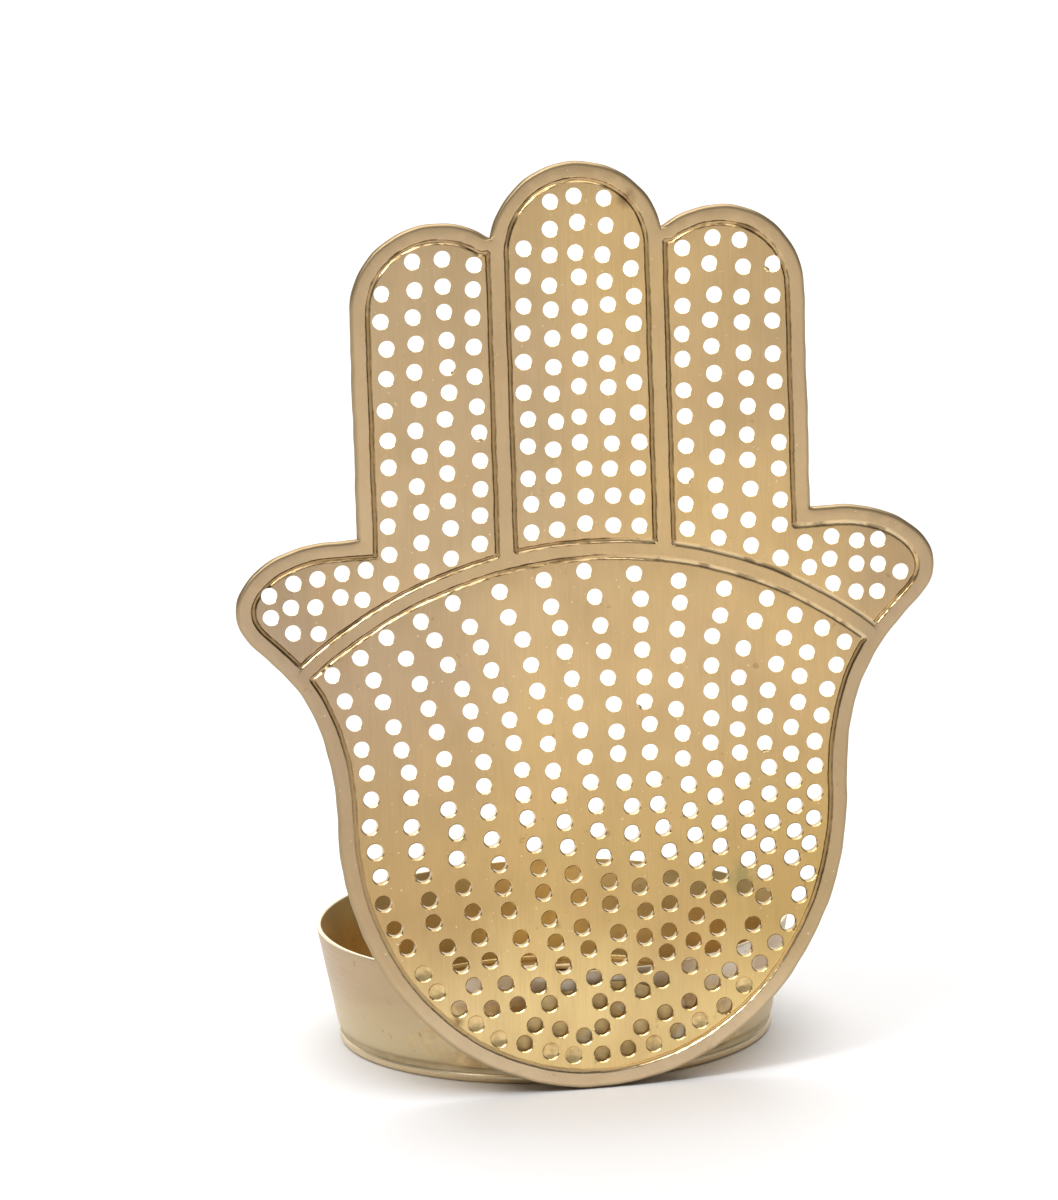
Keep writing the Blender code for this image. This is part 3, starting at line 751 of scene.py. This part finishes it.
outline_ends = np.roll(outline, -1, axis=0)
outline_rows = outline + leftwards(outline, True) * EDGE_ROWS[:, None, None]
groove_points = np.vstack(
    [(line + leftwards(line, False) * GROOVE_ROWS[:, None, None]).reshape(-1, 2) for line in groove_lines]
)
groove_starts = np.vstack([line[:-1] for line in groove_lines])
groove_ends = np.vstack([line[1:] for line in groove_lines])
groove_step = np.linalg.norm(groove_ends - groove_starts, axis=1)
groove_walk = np.cumsum(groove_step)
groove_runs = [len(line) - 1 for line in groove_lines]
groove_stamped = np.repeat(LINES_STAMPED, groove_runs)
groove_line = np.repeat(np.arange(len(groove_lines)), groove_runs)

_, keep = np.unique(np.round(groove_points / GROOVE_SPACING).astype(int), axis=0, return_index=True)
groove_points = groove_points[np.sort(keep)]
fill_x, fill_z = np.meshgrid(np.arange(-FILL_COLUMNS, FILL_COLUMNS + 1), np.arange(FILL_ROWS))
fill_x = fill_x + 0.5 * (fill_z % 2)
fill = np.column_stack([fill_x.ravel(), (fill_z * np.sqrt(3) / 2).ravel()]) * FILL_STEP
fill = fill[inside(fill, outline)]
fill = fill[nearest(fill, outline, outline_ends)[0] > EDGE_ROWS[-1] + FILL_STEP / 3]
fill = fill[nearest(fill, groove_starts, groove_ends)[0] > GROOVE_ROWS[-1] + FILL_STEP / 3]
loose = np.vstack([groove_points, fill])
hole_gap = np.concatenate(
    [np.linalg.norm(some[:, None] - holes, axis=2).min(axis=1) for some in np.array_split(loose, 20)]
)
loose = loose[hole_gap > HOLE_RADIUS + HOLE_REAM + LIP_ROWS[-1] + HOLE_MARGIN]

flat_points = np.vstack([outline_rows.reshape(-1, 2), lips.reshape(-1, 2), loose])
flat_back = np.vstack([outline_rows.reshape(-1, 2), lips_back.reshape(-1, 2), loose])
level = np.zeros(len(loose))
rim_count = len(holes) * HOLE_SIDES
lip_fall = np.broadcast_to(LIP_FALL[:, None, None] * hole_sunk, lips.shape[:-1]).ravel()
fall_front = np.concatenate([np.repeat(EDGE_FALL_FRONT, len(outline)), lip_fall, level])
fall_back = np.concatenate([np.repeat(EDGE_FALL_BACK, len(outline)), np.zeros(lips[..., 0].size), level])
no_lip = np.zeros(outline_rows[..., 0].size)
is_drilled = np.concatenate([no_lip, np.repeat([1.0, 0.0, 0.0], rim_count), level])
is_lip = np.concatenate([no_lip, np.repeat([1.0, 1.0, 0.0], rim_count), level])
outline_index = np.arange(len(outline))
outline_edges = np.column_stack([outline_index, np.roll(outline_index, -1)])
rim_index = outline_rows[..., 0].size + np.arange(rim_count).reshape(len(holes), HOLE_SIDES)
rim_edges = np.stack([rim_index, np.roll(rim_index, -1, axis=1)], axis=-1).reshape(-1, 2)
edges = np.vstack([outline_edges, rim_edges])

triangles = np.array(delaunay_2d_cdt((flat_points / MM).tolist(), edges.tolist(), [], 1, 1e-5)[2])
hole_of = np.full(len(flat_points), -1)
hole_of[rim_index] = np.arange(len(holes))[:, None]
corner_hole = hole_of[triangles]
in_hole = (corner_hole[:, 0] >= 0) & (corner_hole == corner_hole[:, :1]).all(axis=1)
triangles = triangles[~in_hole]

groove_gap, groove_pick, groove_share = nearest(flat_points, groove_starts, groove_ends)
outline_gap = nearest(flat_points, outline, outline_ends)[0]
in_panel = np.any([inside(flat_points, loop) for loop in panel_loops], axis=0)


def groove_shape(gap, walk):
    """Depth of a chased groove at a distance from its line: level on its floor, then rising smoothly to
    its edge. Each chisel stroke along the line is deepest at its middle."""
    slope = np.clip((gap - GROOVE_FLOOR) / (GROOVE_EDGE - GROOVE_FLOOR), 0, 1)
    stroke = STROKE_LEAST + (1 - STROKE_LEAST) * np.abs(np.sin(np.pi * walk / CHISEL_STROKE))
    return (1 - slope**2 * (3 - 2 * slope)) * stroke


walk = groove_walk[groove_pick] - groove_step[groove_pick] * (1 - groove_share)
groove = groove_shape(groove_gap, walk)
swell = np.clip(groove_gap / PILLOW_WIDE, 0, 1)
pillow = np.where(in_panel, swell * (2 - swell), BORDER_PILLOW)
x, z = flat_points.T
wave = np.sin(x / (5.1 * MM) + 0.7) * np.sin(z / (7.3 * MM)) + np.sin(x / (9.7 * MM) - z / (6.1 * MM))
sheet = SHEET_WAVE * wave
worn_low = np.clip((WORN_BELOW - z) / WORN_FADE_UP, 0, 1)
worn_left = np.clip((WORN_RIGHT - x) / WORN_FADE_RIGHT, 0, 1)
worn = worn_low * worn_left
# Grooves low on the right and on the right thumb's lower line are painted bright: a painted glint.
painted_glint = np.clip((PAINTED_GLINT_BELOW - z) / PAINTED_GLINT_FADE, 0, 1) * np.clip(x / PAINTED_GLINT_FADE + 0.5, 0, 1)
on_line = groove_line[groove_pick]
on_thumb = on_line == RIGHT_THUMB_LINE
over_thumb = np.clip((z - THUMB_TIP[1]) / LIGHT_FADE_UP, 0, 1)
lightly = np.isin(on_line, ARCH_LINES) * np.clip(x / LIGHT_FADE_RIGHT, 0, 1) + on_thumb * over_thumb
painted_glint = np.maximum(painted_glint, on_thumb * (1 - over_thumb))
depth = GROOVE_DEPTH * (1 - WORN_SHALLOW * worn) * (1 - LIGHT_SHALLOW * lightly)
front = front_y + sheet - PILLOW * pillow + depth * groove + fall_front
ridge = np.clip(1 - groove_gap / GROOVE_ROWS[-1], 0, 1)
back = back_y + np.minimum(sheet, 0) - BACK_RIDGE * (1 - ridge**2 * (3 - 2 * ridge)) - fall_back
plate_points = np.vstack(
    [np.column_stack([x, front, z]), np.column_stack([flat_back[:, 0], back, flat_back[:, 1]])]
) + (0, 0, foot[1])
sides = triangles[:, [[0, 1], [1, 2], [2, 0]]].reshape(-1, 2)
_, which, used = np.unique(np.sort(sides, axis=1), axis=0, return_inverse=True, return_counts=True)
rim = sides[used[which.ravel()] == 1]
count = len(flat_points)
plate_walls = np.column_stack([rim[:, 1], rim[:, 0], rim[:, 0] + count, rim[:, 1] + count])
plate_faces = [*triangles, *(triangles[:, ::-1] + count), *plate_walls]

filed = 1 - FILED_FADE * np.clip((outline_gap - BORDER) / BORDER, 0, 1)
plate_marks = {
    "drilled": is_drilled,
    "lip": is_lip,
    "border": np.where(in_panel, 0.0, filed),
    "edge": np.clip(1 - outline_gap / EDGE_BAND, 0, 1),
    "stamped": groove_stamped[groove_pick].astype(float),
    "worn": worn,
    "painted_glint": painted_glint,
    "lightly": lightly,
}
plate_marks = {label: np.tile(values, 2) for label, values in plate_marks.items()}
plate_marks["groove_gap"] = np.concatenate([np.minimum(groove_gap / MM, 1.0), np.ones(count)])

BRASS_GOLD = (0.855, 0.58, 0.238)
BRASS_DULL = (0.68, 0.495, 0.283)
BRASS_FILED = (0.71, 0.52, 0.31)
BRASS_PAINTED_GLINT = (0.95, 0.78, 0.50)
BRASS_CUT = (0.97, 0.87, 0.68)
BRASS_HOLE_WALL_SHADE = (0.40, 0.28, 0.13)
BRASS_PALE_LIT = (0.80, 0.63, 0.42)
BRASS_SHADED = (0.83, 0.84, 0.89)
BRASS_WARM_LIT = (0.69, 0.47, 0.187)
BRASS_PALM_LEFT = (0.88, 0.87, 0.93)
BRASS_LIT_BOTTOM = (0.98, 0.74, 0.345)
BRASS_THUMB_SHADE = (0.81, 0.82, 0.90)
BRASS_RIGHT = (0.91, 0.91, 0.95)
BRASS_LOW_RIGHT = (0.89, 0.88, 0.74)
BRASS_COPPER = (0.84, 0.52, 0.23)
GROOVE_GRIME_AND_SHADE = (0.16, 0.10, 0.04)
TARNISH = (0.36, 0.23, 0.095)
EDGE_TARNISH = (0.30, 0.19, 0.085)
EDGE_DULL = (0.37, 0.285, 0.165)
PLATE_BUMP = 0.004 * MM
LIT_BOTTOM_RAGGED = 4 * MM
LEFT_SPAN = mm(5, -25)
WARM_LIT_SPAN = mm(42, 25)
LIT_BOTTOM_SPAN = mm(18, 7)
PALM_LEFT_SPAN = mm(-5, -20)
PALM_TOP_SPAN = mm(54, 44)
THUMB_SHADE_SPAN = mm(22, 29)
RIGHT_SPAN = mm(8, 26)
RIGHT_TOP_SPAN = mm(22, 36)
SHADED_SPAN = mm(56, 44)
PALE_LIT_SPAN = mm(13, 3)
CUT_SPAN = mm(23, 33)
PLATE_STAINS = [
    ((-8.2 * MM, front_y, 1.2 * MM), 1.5 * MM, (0.30, 0.15, 0.06)),
    ((-14.2 * MM, front_y, 7.9 * MM), 0.9 * MM, (0.30, 0.18, 0.07)),
    ((11.7 * MM, front_y, 2.6 * MM), 1.6 * MM, (0.36, 0.20, 0.10)),
    ((14.5 * MM, front_y, 20.2 * MM), 2.2 * MM, (0.40, 0.33, 0.14)),
    ((5.0 * MM, front_y, 88.0 * MM), 1.2 * MM, (0.26, 0.15, 0.06)),
]

brushed_brass = new_metal("brushed_brass")
plate_up = along("Z")
plate_across = along("X")
plate_grain = object_noise((13000, 13000, 260), 2.0)
plate_files = ramp(object_noise((7000, 7000, 500), 2.0, turn=35), 0.0, 1.0, 0.25, 0.75)
plate_cloud = object_noise((45, 45, 30), 4.0)
plate_speck = object_noise(650, 5.0)
plate_border = mark("border")
plate_gap = mark("groove_gap")
plate_edge = mark("edge")
plate_stamped = mark("stamped")
plate_lightly = mark("lightly")
plate_painted_glint = mark("painted_glint")

plate_left = ramp(plate_across, *LEFT_SPAN, 0.0, 0.8)
plate_dull = maths("ADD", ramp(plate_cloud, 0.35, 0.65, 0.2, 0.8), plate_left)
plate_lit_bottom = maths("ADD", plate_up, ramp(plate_cloud, 0.3, 0.7, -LIT_BOTTOM_RAGGED, LIT_BOTTOM_RAGGED))
plate_palm_left = times(ramp(plate_across, *PALM_LEFT_SPAN), ramp(plate_up, *PALM_TOP_SPAN))
plate_thumb_shade = ramp(maths("ABSOLUTE", plate_across), *THUMB_SHADE_SPAN)
plate_right_tint = blend(ramp(plate_up, *RIGHT_TOP_SPAN), BRASS_LOW_RIGHT, BRASS_RIGHT)
plate_lines = blend(plate_border, plate_grain, plate_files)
plate_hole_wall_cut_and_shade = blend(ramp(plate_up, *CUT_SPAN), BRASS_HOLE_WALL_SHADE, BRASS_CUT)
plate_sawn = ramp(object_noise(420), 0.40, 0.62, 0.3, 0.9)

plate_ragged = ramp(object_noise(1500, 2.0), 0.3, 0.7, 0.16, 0.22)
plate_wall = ramp(maths("ABSOLUTE", maths("SUBTRACT", plate_gap, plate_ragged)), 0.12, 0.04)
plate_wear_and_glint = times(ramp(mark("worn"), 0.0, 1.0, 1.0, 0.6), ramp(plate_painted_glint, 0.0, 1.0, 1.0, 0.1))
plate_light = ramp(plate_lightly, 0.0, 1.0, 1.0, 0.3)
plate_scribed = times(ramp(plate_speck, 0.35, 0.6, 0.6, 1.0), plate_wear_and_glint)
plate_pits = times(ramp(object_noise(620), 0.48, 0.58, 0.25, 0.95), plate_light)
# Groove walls painted dark: part grime, part painted shade.
plate_grime_and_shade = times(plate_wall, blend(plate_stamped, plate_scribed, plate_pits))
plate_floor = times(ramp(plate_gap, 0.20, 0.12, 0.0, 0.8), ramp(plate_stamped, 0.0, 1.0, 1.0, 0.45))
plate_bright = times(plate_painted_glint, ramp(plate_gap, 0.24, 0.12), ramp(plate_speck, 0.38, 0.58, 0.1, 0.9))
plate_dashes = ramp(object_noise(330, 4.0), 0.51, 0.60, 0.0, 0.65)

plate_coats = [
    (ramp(plate_dull, 0.0, 1.0), BRASS_DULL),
    # Warmer gold from mid-height down and bright gold at the bottom: painted light, as if lit from the
    # floor in front.
    (ramp(plate_up, *WARM_LIT_SPAN, 0.0, 0.85), BRASS_WARM_LIT),
    (ramp(plate_lit_bottom, *LIT_BOTTOM_SPAN), BRASS_LIT_BOTTOM),
    (plate_palm_left, BRASS_PALM_LEFT, "MULTIPLY"),
    # The thumbs are darkened: painted shade.
    (plate_thumb_shade, BRASS_THUMB_SHADE, "MULTIPLY"),
    (ramp(plate_across, *RIGHT_SPAN), plate_right_tint, "MULTIPLY"),
    (ramp(object_noise((170, 170, 120)), 0.48, 0.66, 0.0, 0.22), BRASS_COPPER),
    (times(plate_border, 0.6), BRASS_FILED),
    (times(plate_border, ramp(plate_up, *SHADED_SPAN)), BRASS_SHADED, "MULTIPLY"),
    # The border is paler towards the bottom: painted light.
    (times(plate_border, ramp(plate_up, *PALE_LIT_SPAN)), BRASS_PALE_LIT),
    (ramp(plate_lines, 0.35, 0.75, 0.0, 0.14), TARNISH),
    (ramp(plate_edge, 0.1, 0.7, 0.0, 0.8), EDGE_DULL),
    (ramp(object_noise((230, 230, 150), 4.0), 0.42, 0.7, 0.0, 0.16), TARNISH),
    (ramp(plate_speck, 0.69, 0.74, 0.0, 0.5), TARNISH),
    # Tiny bright specks all over: painted glints.
    (ramp(object_noise(2400, 1.0), 0.74, 0.80, 0.0, 0.7), BRASS_PAINTED_GLINT),
    # Hole walls are pale cut brass high up and painted shade low down.
    (times(mark("drilled"), 0.85), plate_hole_wall_cut_and_shade),
    (times(plate_sawn, ramp(plate_edge, 0.86, 0.99)), EDGE_TARNISH),
    # Groove floors and walls painted dark: part grime, part painted shade.
    (times(plate_floor, plate_wear_and_glint, plate_light), TARNISH),
    (plate_grime_and_shade, GROOVE_GRIME_AND_SHADE),
    # Bright gold in those grooves, with the grime cleared: painted glint.
    (plate_bright, BRASS_GOLD),
    # A bright gold line along the lightly cut grooves: painted highlight.
    (times(plate_lightly, ramp(plate_gap, 0.26, 0.14, 0.0, 0.4)), BRASS_PAINTED_GLINT),
    (times(plate_dashes, plate_stamped, ramp(plate_gap, 0.26, 0.17)), GROOVE_GRIME_AND_SHADE),
]
plate_place = object_place()
plate_blotch = ramp(plate_speck, 0.40, 0.58, 0.0, 0.85)
for spot, reach, stain in PLATE_STAINS:
    away = add_node("ShaderNodeVectorMath", {0: plate_place, 1: spot}, operation="DISTANCE")
    plate_coats.append((times(ramp(away.outputs["Value"], reach, reach / 4), plate_blotch), stain))
plate_colour = coated(BRASS_GOLD, *plate_coats)
plate_rough = ramp(plate_lines, 0.3, 0.7, -0.04, 0.05)
plate_rough = maths("ADD", ramp(plate_cloud, 0.3, 0.7, 0.36, 0.44), plate_rough)
plate_polish = times(maths("MAXIMUM", mark("lip"), plate_wall), 0.20)
finish_metal(plate_colour, maths("SUBTRACT", plate_rough, plate_polish), plate_lines, PLATE_BUMP)

plate = add_piece(
    "dressed_hand_plate", plate_points, plate_faces, brushed_brass, plate_marks, 30
)
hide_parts("hand_plate")

# Solder fillets
# Two lumps of soft solder run in with an iron between the back of the hand and the front of the cup.
# They wetted both sheets and set with a slack, dimpled skin.

FILLET_ROWS = 64
FILLET_COLUMNS = 40
FILLET_OFFSET = 6.8 * MM
FILLET_RISE = 3.5 * MM
FILLET_REACH = mm(4.6, 3.0, 3.0)
FILLET_GAP = 0.15 * MM
FILLET_LUMP = 0.06


def solder_fillet(side):
    """A lumpy ellipsoid on a grid of longitude and latitude, whose points are then pressed back: none lies
    in front of the plate's back or inside the cup's outside, less a thin seam."""
    longitude = full_turn(FILLET_ROWS)[:, None]
    latitude = np.linspace(np.pi / 2, -np.pi / 2, FILLET_COLUMNS)[None, :]
    lump = 1 - FILLET_LUMP * (0.5 + 0.5 * np.sin(5 * longitude + side) * np.cos(7 * latitude))
    across = np.cos(latitude) * np.cos(longitude) * lump
    deep = np.cos(latitude) * np.sin(longitude) * lump
    high = np.sin(latitude) * lump
    x = side * FILLET_OFFSET + FILLET_REACH[0] * across
    z = cup_foot_z + FILLET_RISE + FILLET_REACH[2] * high
    y = back_y + FILLET_REACH[1] * deep
    cup_front = -np.sqrt(np.maximum((cup_outside(z) + FILLET_GAP) ** 2 - x**2, 0))
    plate_back = np.full_like(y, back_y + FILLET_GAP)
    y = np.maximum(np.minimum(y, np.maximum(cup_front, plate_back)), plate_back)
    return np.stack([x, y, np.broadcast_to(z, x.shape)], axis=-1)


for side, node in ((-1, "left_solder_fillet"), (1, "right_solder_fillet")):
    fillet_points = solder_fillet(side)
    fillet_faces = grid_faces(fillet_points)
    fillet = add_piece("dressed_" + node, fillet_points, fillet_faces, soft_solder)
    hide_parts(node)

# Run solder
# A thin skin of solder and brown flux that ran down the back of the hand, where it lies against the cup.
# It closes the holes from behind there, so they look brown from the front.

SKIN_TURNS = 96
SKIN_RINGS = 14
SKIN_MIDDLE = 6.1 * MM
SKIN_REACH = mm(10.5, 4.5)
SKIN_THICK = 0.09 * MM
SKIN_GAP = 0.03 * MM
SKIN_LUMP = 0.08
SKIN_BROWN = (0.92, 0.70, 0.33)
SKIN_DARK = (0.70, 0.50, 0.22)
SKIN_GREY = (0.90, 0.84, 0.72)
SKIN_BARE = 0.2
SKIN_BUMP = 0.05 * MM


def solder_skin():
    """A flat blob on a grid of angle and ring: its edge is an oval whose reach swells and sinks by two
    sines of the angle. The first half of the rings is its front, out to the edge, the rest its back."""
    angle = full_turn(SKIN_TURNS)[:, None]
    out = np.concatenate([np.linspace(0, 1, SKIN_RINGS), np.linspace(1, 0, SKIN_RINGS)])[None, :]
    swell = 1 - SKIN_LUMP * (1 + 0.6 * np.sin(3 * angle + 1) + 0.4 * np.sin(8 * angle))
    x = SKIN_REACH[0] * out * swell * np.cos(angle)
    z = SKIN_MIDDLE + SKIN_REACH[1] * out * swell * np.sin(angle)
    depth = np.repeat([0.0, SKIN_THICK], SKIN_RINGS) * np.sqrt(np.clip(1 - out**8, 0, 1))
    y = np.broadcast_to(back_y + SKIN_GAP + depth, x.shape)
    return np.stack([x, y, z], axis=-1)


skin_metal = new_metal("run_solder")
skin_cloud = object_noise(420, 4.0)
skin_patch = object_noise((300, 310, 290), 2.0)
skin_colour = blend(ramp(skin_cloud, 0.40, 0.62), SKIN_BROWN, SKIN_DARK)
skin_colour = blend(ramp(skin_patch, 0.56, 0.66, 0.0, 0.8), skin_colour, SKIN_GREY)
finish_metal(skin_colour, ramp(skin_cloud, 0.3, 0.7, 0.45, 0.65), skin_cloud, SKIN_BUMP, SKIN_BARE)
skin_points = solder_skin()
add_piece("run_solder", skin_points, grid_faces(skin_points), skin_metal)

# Solder plugs
# Solder that filled a few low holes when the hand was joined to the cup, brushed over with the hand.
# Each plug is a shallow dish of metal in its hole, the colour of the brass.

PLUG_SITES = mm(
    *[(-16.2, 12.7), (-14.4, 10.9), (-12.5, 8.8), (-10.3, 7.2), (-5.5, 4.3), (-2.8, 4.0)],
    *[(5.1, 3.9), (10.0, 6.9), (14.3, 10.0)],
)
PLUG_TURNS = 28
PLUG_RINGS = 6
PLUG_RADIUS = 1.01 * HOLE_RADIUS
PLUG_LEAN = 0.08 * MM
PLUG_DISH = 0.16 * MM
PLUG_SINK = 0.14 * MM
PLUG_THICK = 0.45 * MM
PLUG_GOLD = (0.90, 0.67, 0.33)
PLUG_DULL = (0.62, 0.45, 0.21)
PLUG_BUMP = 0.08 * MM


def holes_near(sites):
    """The centres of the holes that lie nearest to some sites, each hole once."""
    centres = holes + foot
    pick = np.unique(np.linalg.norm(sites[:, None] - centres, axis=2).argmin(axis=1))
    return centres[pick][:, None, None, :]


def solder_plugs():
    """A round plug in the hole nearest each site, on a grid of angle and ring: front rings out to the
    hole's wall, dished by the square of the ring, then back rings in again. One closed grid for each."""
    centres = holes_near(PLUG_SITES)
    order = np.arange(len(centres))[:, None, None]
    angle = full_turn(PLUG_TURNS)[None, :, None]
    out = np.concatenate([np.linspace(0, 1, PLUG_RINGS), np.linspace(1, 0, PLUG_RINGS)])[None, None, :]
    lean = PLUG_LEAN * np.sin(angle + 2.4 * order) * out
    x = centres[..., 0] + PLUG_RADIUS * out * np.cos(angle)
    z = centres[..., 1] + PLUG_RADIUS * out * np.sin(angle)
    front = front_y + PLUG_SINK + PLUG_DISH * (1 - out**2) + lean
    back = np.broadcast_to(front_y + PLUG_SINK + PLUG_THICK, front.shape)
    is_back = np.repeat([False, True], PLUG_RINGS)
    return np.stack([x, np.where(is_back, back, front), z], axis=-1)


plug_metal = new_metal("plug_solder")
plug_cloud = object_noise(900, 4.0)
plug_colour = blend(ramp(plug_cloud, 0.42, 0.66), PLUG_GOLD, PLUG_DULL)
finish_metal(plug_colour, ramp(plug_cloud, 0.3, 0.7, 0.30, 0.45), plug_cloud, PLUG_BUMP)
plug_points = solder_plugs()
add_piece("solder_plugs", plug_points, grid_faces(plug_points), plug_metal, None, 50)

# Drill burrs
# Flakes of brass that the drill turned up and left on the edges of a few holes.
# Each is a thin bright tongue that still hangs on at one end.

BURR_SITES = mm((-13.1, 73.2), (17.9, 82.0), (10.2, 60.1), (17.5, 34.5), (5.0, 38.5), (-10.9, 66.0))
BURR_TURNS = 20
BURR_RINGS = 8
BURR_REACH = mm(0.34, 0.11, 0.20)
BURR_SINK = 0.04 * MM
BURR_BEND = 0.25
BURR_LUMP = 0.18
BURR_BUMP = 0.03 * MM
BURR_GOLD = (0.95, 0.74, 0.40)


def drill_burrs():
    """A lumpy ellipsoid for each site, on a grid of longitude and latitude, set on the lower edge of the
    nearest hole, and bent out of the plate by the square of the distance along its length."""
    centres = holes_near(BURR_SITES)
    order = np.arange(len(centres))[:, None, None]
    longitude = full_turn(BURR_TURNS)[None, :, None]
    latitude = np.linspace(np.pi / 2, -np.pi / 2, BURR_RINGS)[None, None, :]
    lump = 1 + BURR_LUMP * np.sin(3 * longitude + order) * np.cos(latitude)
    bearing = np.radians(-90 + 55 * np.sin(2.1 * order))
    run = BURR_REACH[0] * np.cos(latitude) * np.cos(longitude) * lump
    across = BURR_REACH[2] * np.sin(latitude) * lump
    out = HOLE_RADIUS + across
    x = centres[..., 0] + out * np.cos(bearing) - run * np.sin(bearing)
    z = centres[..., 1] + out * np.sin(bearing) + run * np.cos(bearing)
    deep = BURR_REACH[1] * np.cos(latitude) * np.sin(longitude)
    y = front_y + BURR_SINK + deep - BURR_BEND * run**2 / BURR_REACH[0]
    return np.stack(np.broadcast_arrays(x, y, z), axis=-1)


burr_metal = new_metal("burr_brass")
burr_cloud = object_noise(2600)
burr_colour = blend(ramp(burr_cloud, 0.4, 0.7), BURR_GOLD, TARNISH)
finish_metal(burr_colour, ramp(burr_cloud, 0.3, 0.7, 0.22, 0.4), burr_cloud, BURR_BUMP)
burr_points = drill_burrs()
add_piece("drill_burrs", burr_points, grid_faces(burr_points), burr_metal)

# Studio
# A pale tabletop in a dim room, with soft lights overhead and behind, a window up on the left, and a white
# card stood behind the holder that its holes and bright edges mirror.
# The camera is a long lens, low and a little to the left, level with the photograph's own view.

FLOOR_SIZE = 3.0
FLOOR_PALE = (0.86, 0.86, 0.87, 1)
FLOOR_ROUGH = 0.7
ROOM_AIR = (1.0, 0.985, 0.96, 1)
ROOM_GLOW = 0.24
CAMERA_AZIMUTH = np.radians(-10.6)
CAMERA_ELEVATION = np.radians(12.884)
CAMERA_ROLL = np.radians(-1.88)
CAMERA_DISTANCE = 1167.903 * MM
CAMERA_TARGET = mm(0.0, -13.9, 45.0)
CAMERA_LENS = 360.0
FOCAL_PIXELS = 12000
PHOTO_MIDDLE = np.array([529.0, 600.0])
TARGET_PIXEL = np.array([568.753, 616.653])

floor_mesh = bpy.data.meshes.new("floor")
floor_corners = np.array([(-1, -1, 0), (1, -1, 0), (1, 1, 0), (-1, 1, 0)]) * FLOOR_SIZE / 2
floor_mesh.from_pydata(floor_corners.tolist(), [], [(0, 1, 2, 3)])
floor = bpy.data.objects.new("floor", floor_mesh)
bpy.context.scene.collection.objects.link(floor)
floor_paper = bpy.data.materials.new("floor_paper")
floor_paper.use_nodes = True
floor_shader = floor_paper.node_tree.nodes["Principled BSDF"].inputs
floor_shader["Base Color"].default_value = FLOOR_PALE
floor_shader["Roughness"].default_value = FLOOR_ROUGH
floor_mesh.materials.append(floor_paper)


def soft_light(name, place, aim, lengthwise, length, width, power):
    """A light panel at a place, turned to face a point, with its length laid along a direction."""
    data = bpy.data.lights.new(name, "AREA")
    data.shape = "RECTANGLE"
    data.size = length
    data.size_y = width
    data.energy = power
    light = bpy.data.objects.new(name, data)
    light.location = place
    facing = np.array(aim, float) - np.array(place, float)
    facing /= np.linalg.norm(facing)
    upright = np.cross(-facing, lengthwise)
    upright /= np.linalg.norm(upright)
    across = np.cross(upright, -facing)
    light.rotation_euler = Matrix(np.column_stack([across, upright, -facing]).tolist()).to_euler()
    bpy.context.scene.collection.objects.link(light)


soft_light("overhead_light", (0.10, -0.22, 0.95), (0.10, -0.22, 0), (1, 0, 0), 1.0, 1.0, 6.2)
soft_light("rear_light", (0.0, 0.70, 1.0), (0.0, 0.65, 0), (1, 0, 0), 1.2, 1.2, 7.6)
soft_light("window_light", (-0.57, -0.54, 0.88), (0, -0.02, 0.04), (-0.64, 0.12, -0.36), 0.74, 0.14, 5.2)
soft_light("card_light", (0.0, 0.80, 0.31), (0.0, 0.0, 0.31), (1, 0, 0), 1.6, 0.60, 3.6)

room = bpy.data.worlds.new("room")
room.use_nodes = True
room_light = room.node_tree.nodes["Background"].inputs
room_light["Color"].default_value = ROOM_AIR
room_light["Strength"].default_value = ROOM_GLOW
bpy.context.scene.world = room
bpy.context.scene.view_settings.view_transform = "Standard"

camera_turn = (
    Matrix.Rotation(CAMERA_AZIMUTH, 3, "Z")
    @ Matrix.Rotation(np.pi / 2 - CAMERA_ELEVATION, 3, "X")
    @ Matrix.Rotation(CAMERA_ROLL, 3, "Z")
)
slide = (TARGET_PIXEL - PHOTO_MIDDLE) / FOCAL_PIXELS * CAMERA_DISTANCE
camera_place = Vector(CAMERA_TARGET) + camera_turn @ Vector((-slide[0], slide[1], CAMERA_DISTANCE))
camera_data = bpy.data.cameras.new("camera")
camera_data.lens = CAMERA_LENS
camera = bpy.data.objects.new("camera", camera_data)
camera.matrix_world = Matrix.Translation(camera_place) @ camera_turn.to_4x4()
bpy.context.scene.collection.objects.link(camera)
bpy.context.scene.camera = camera
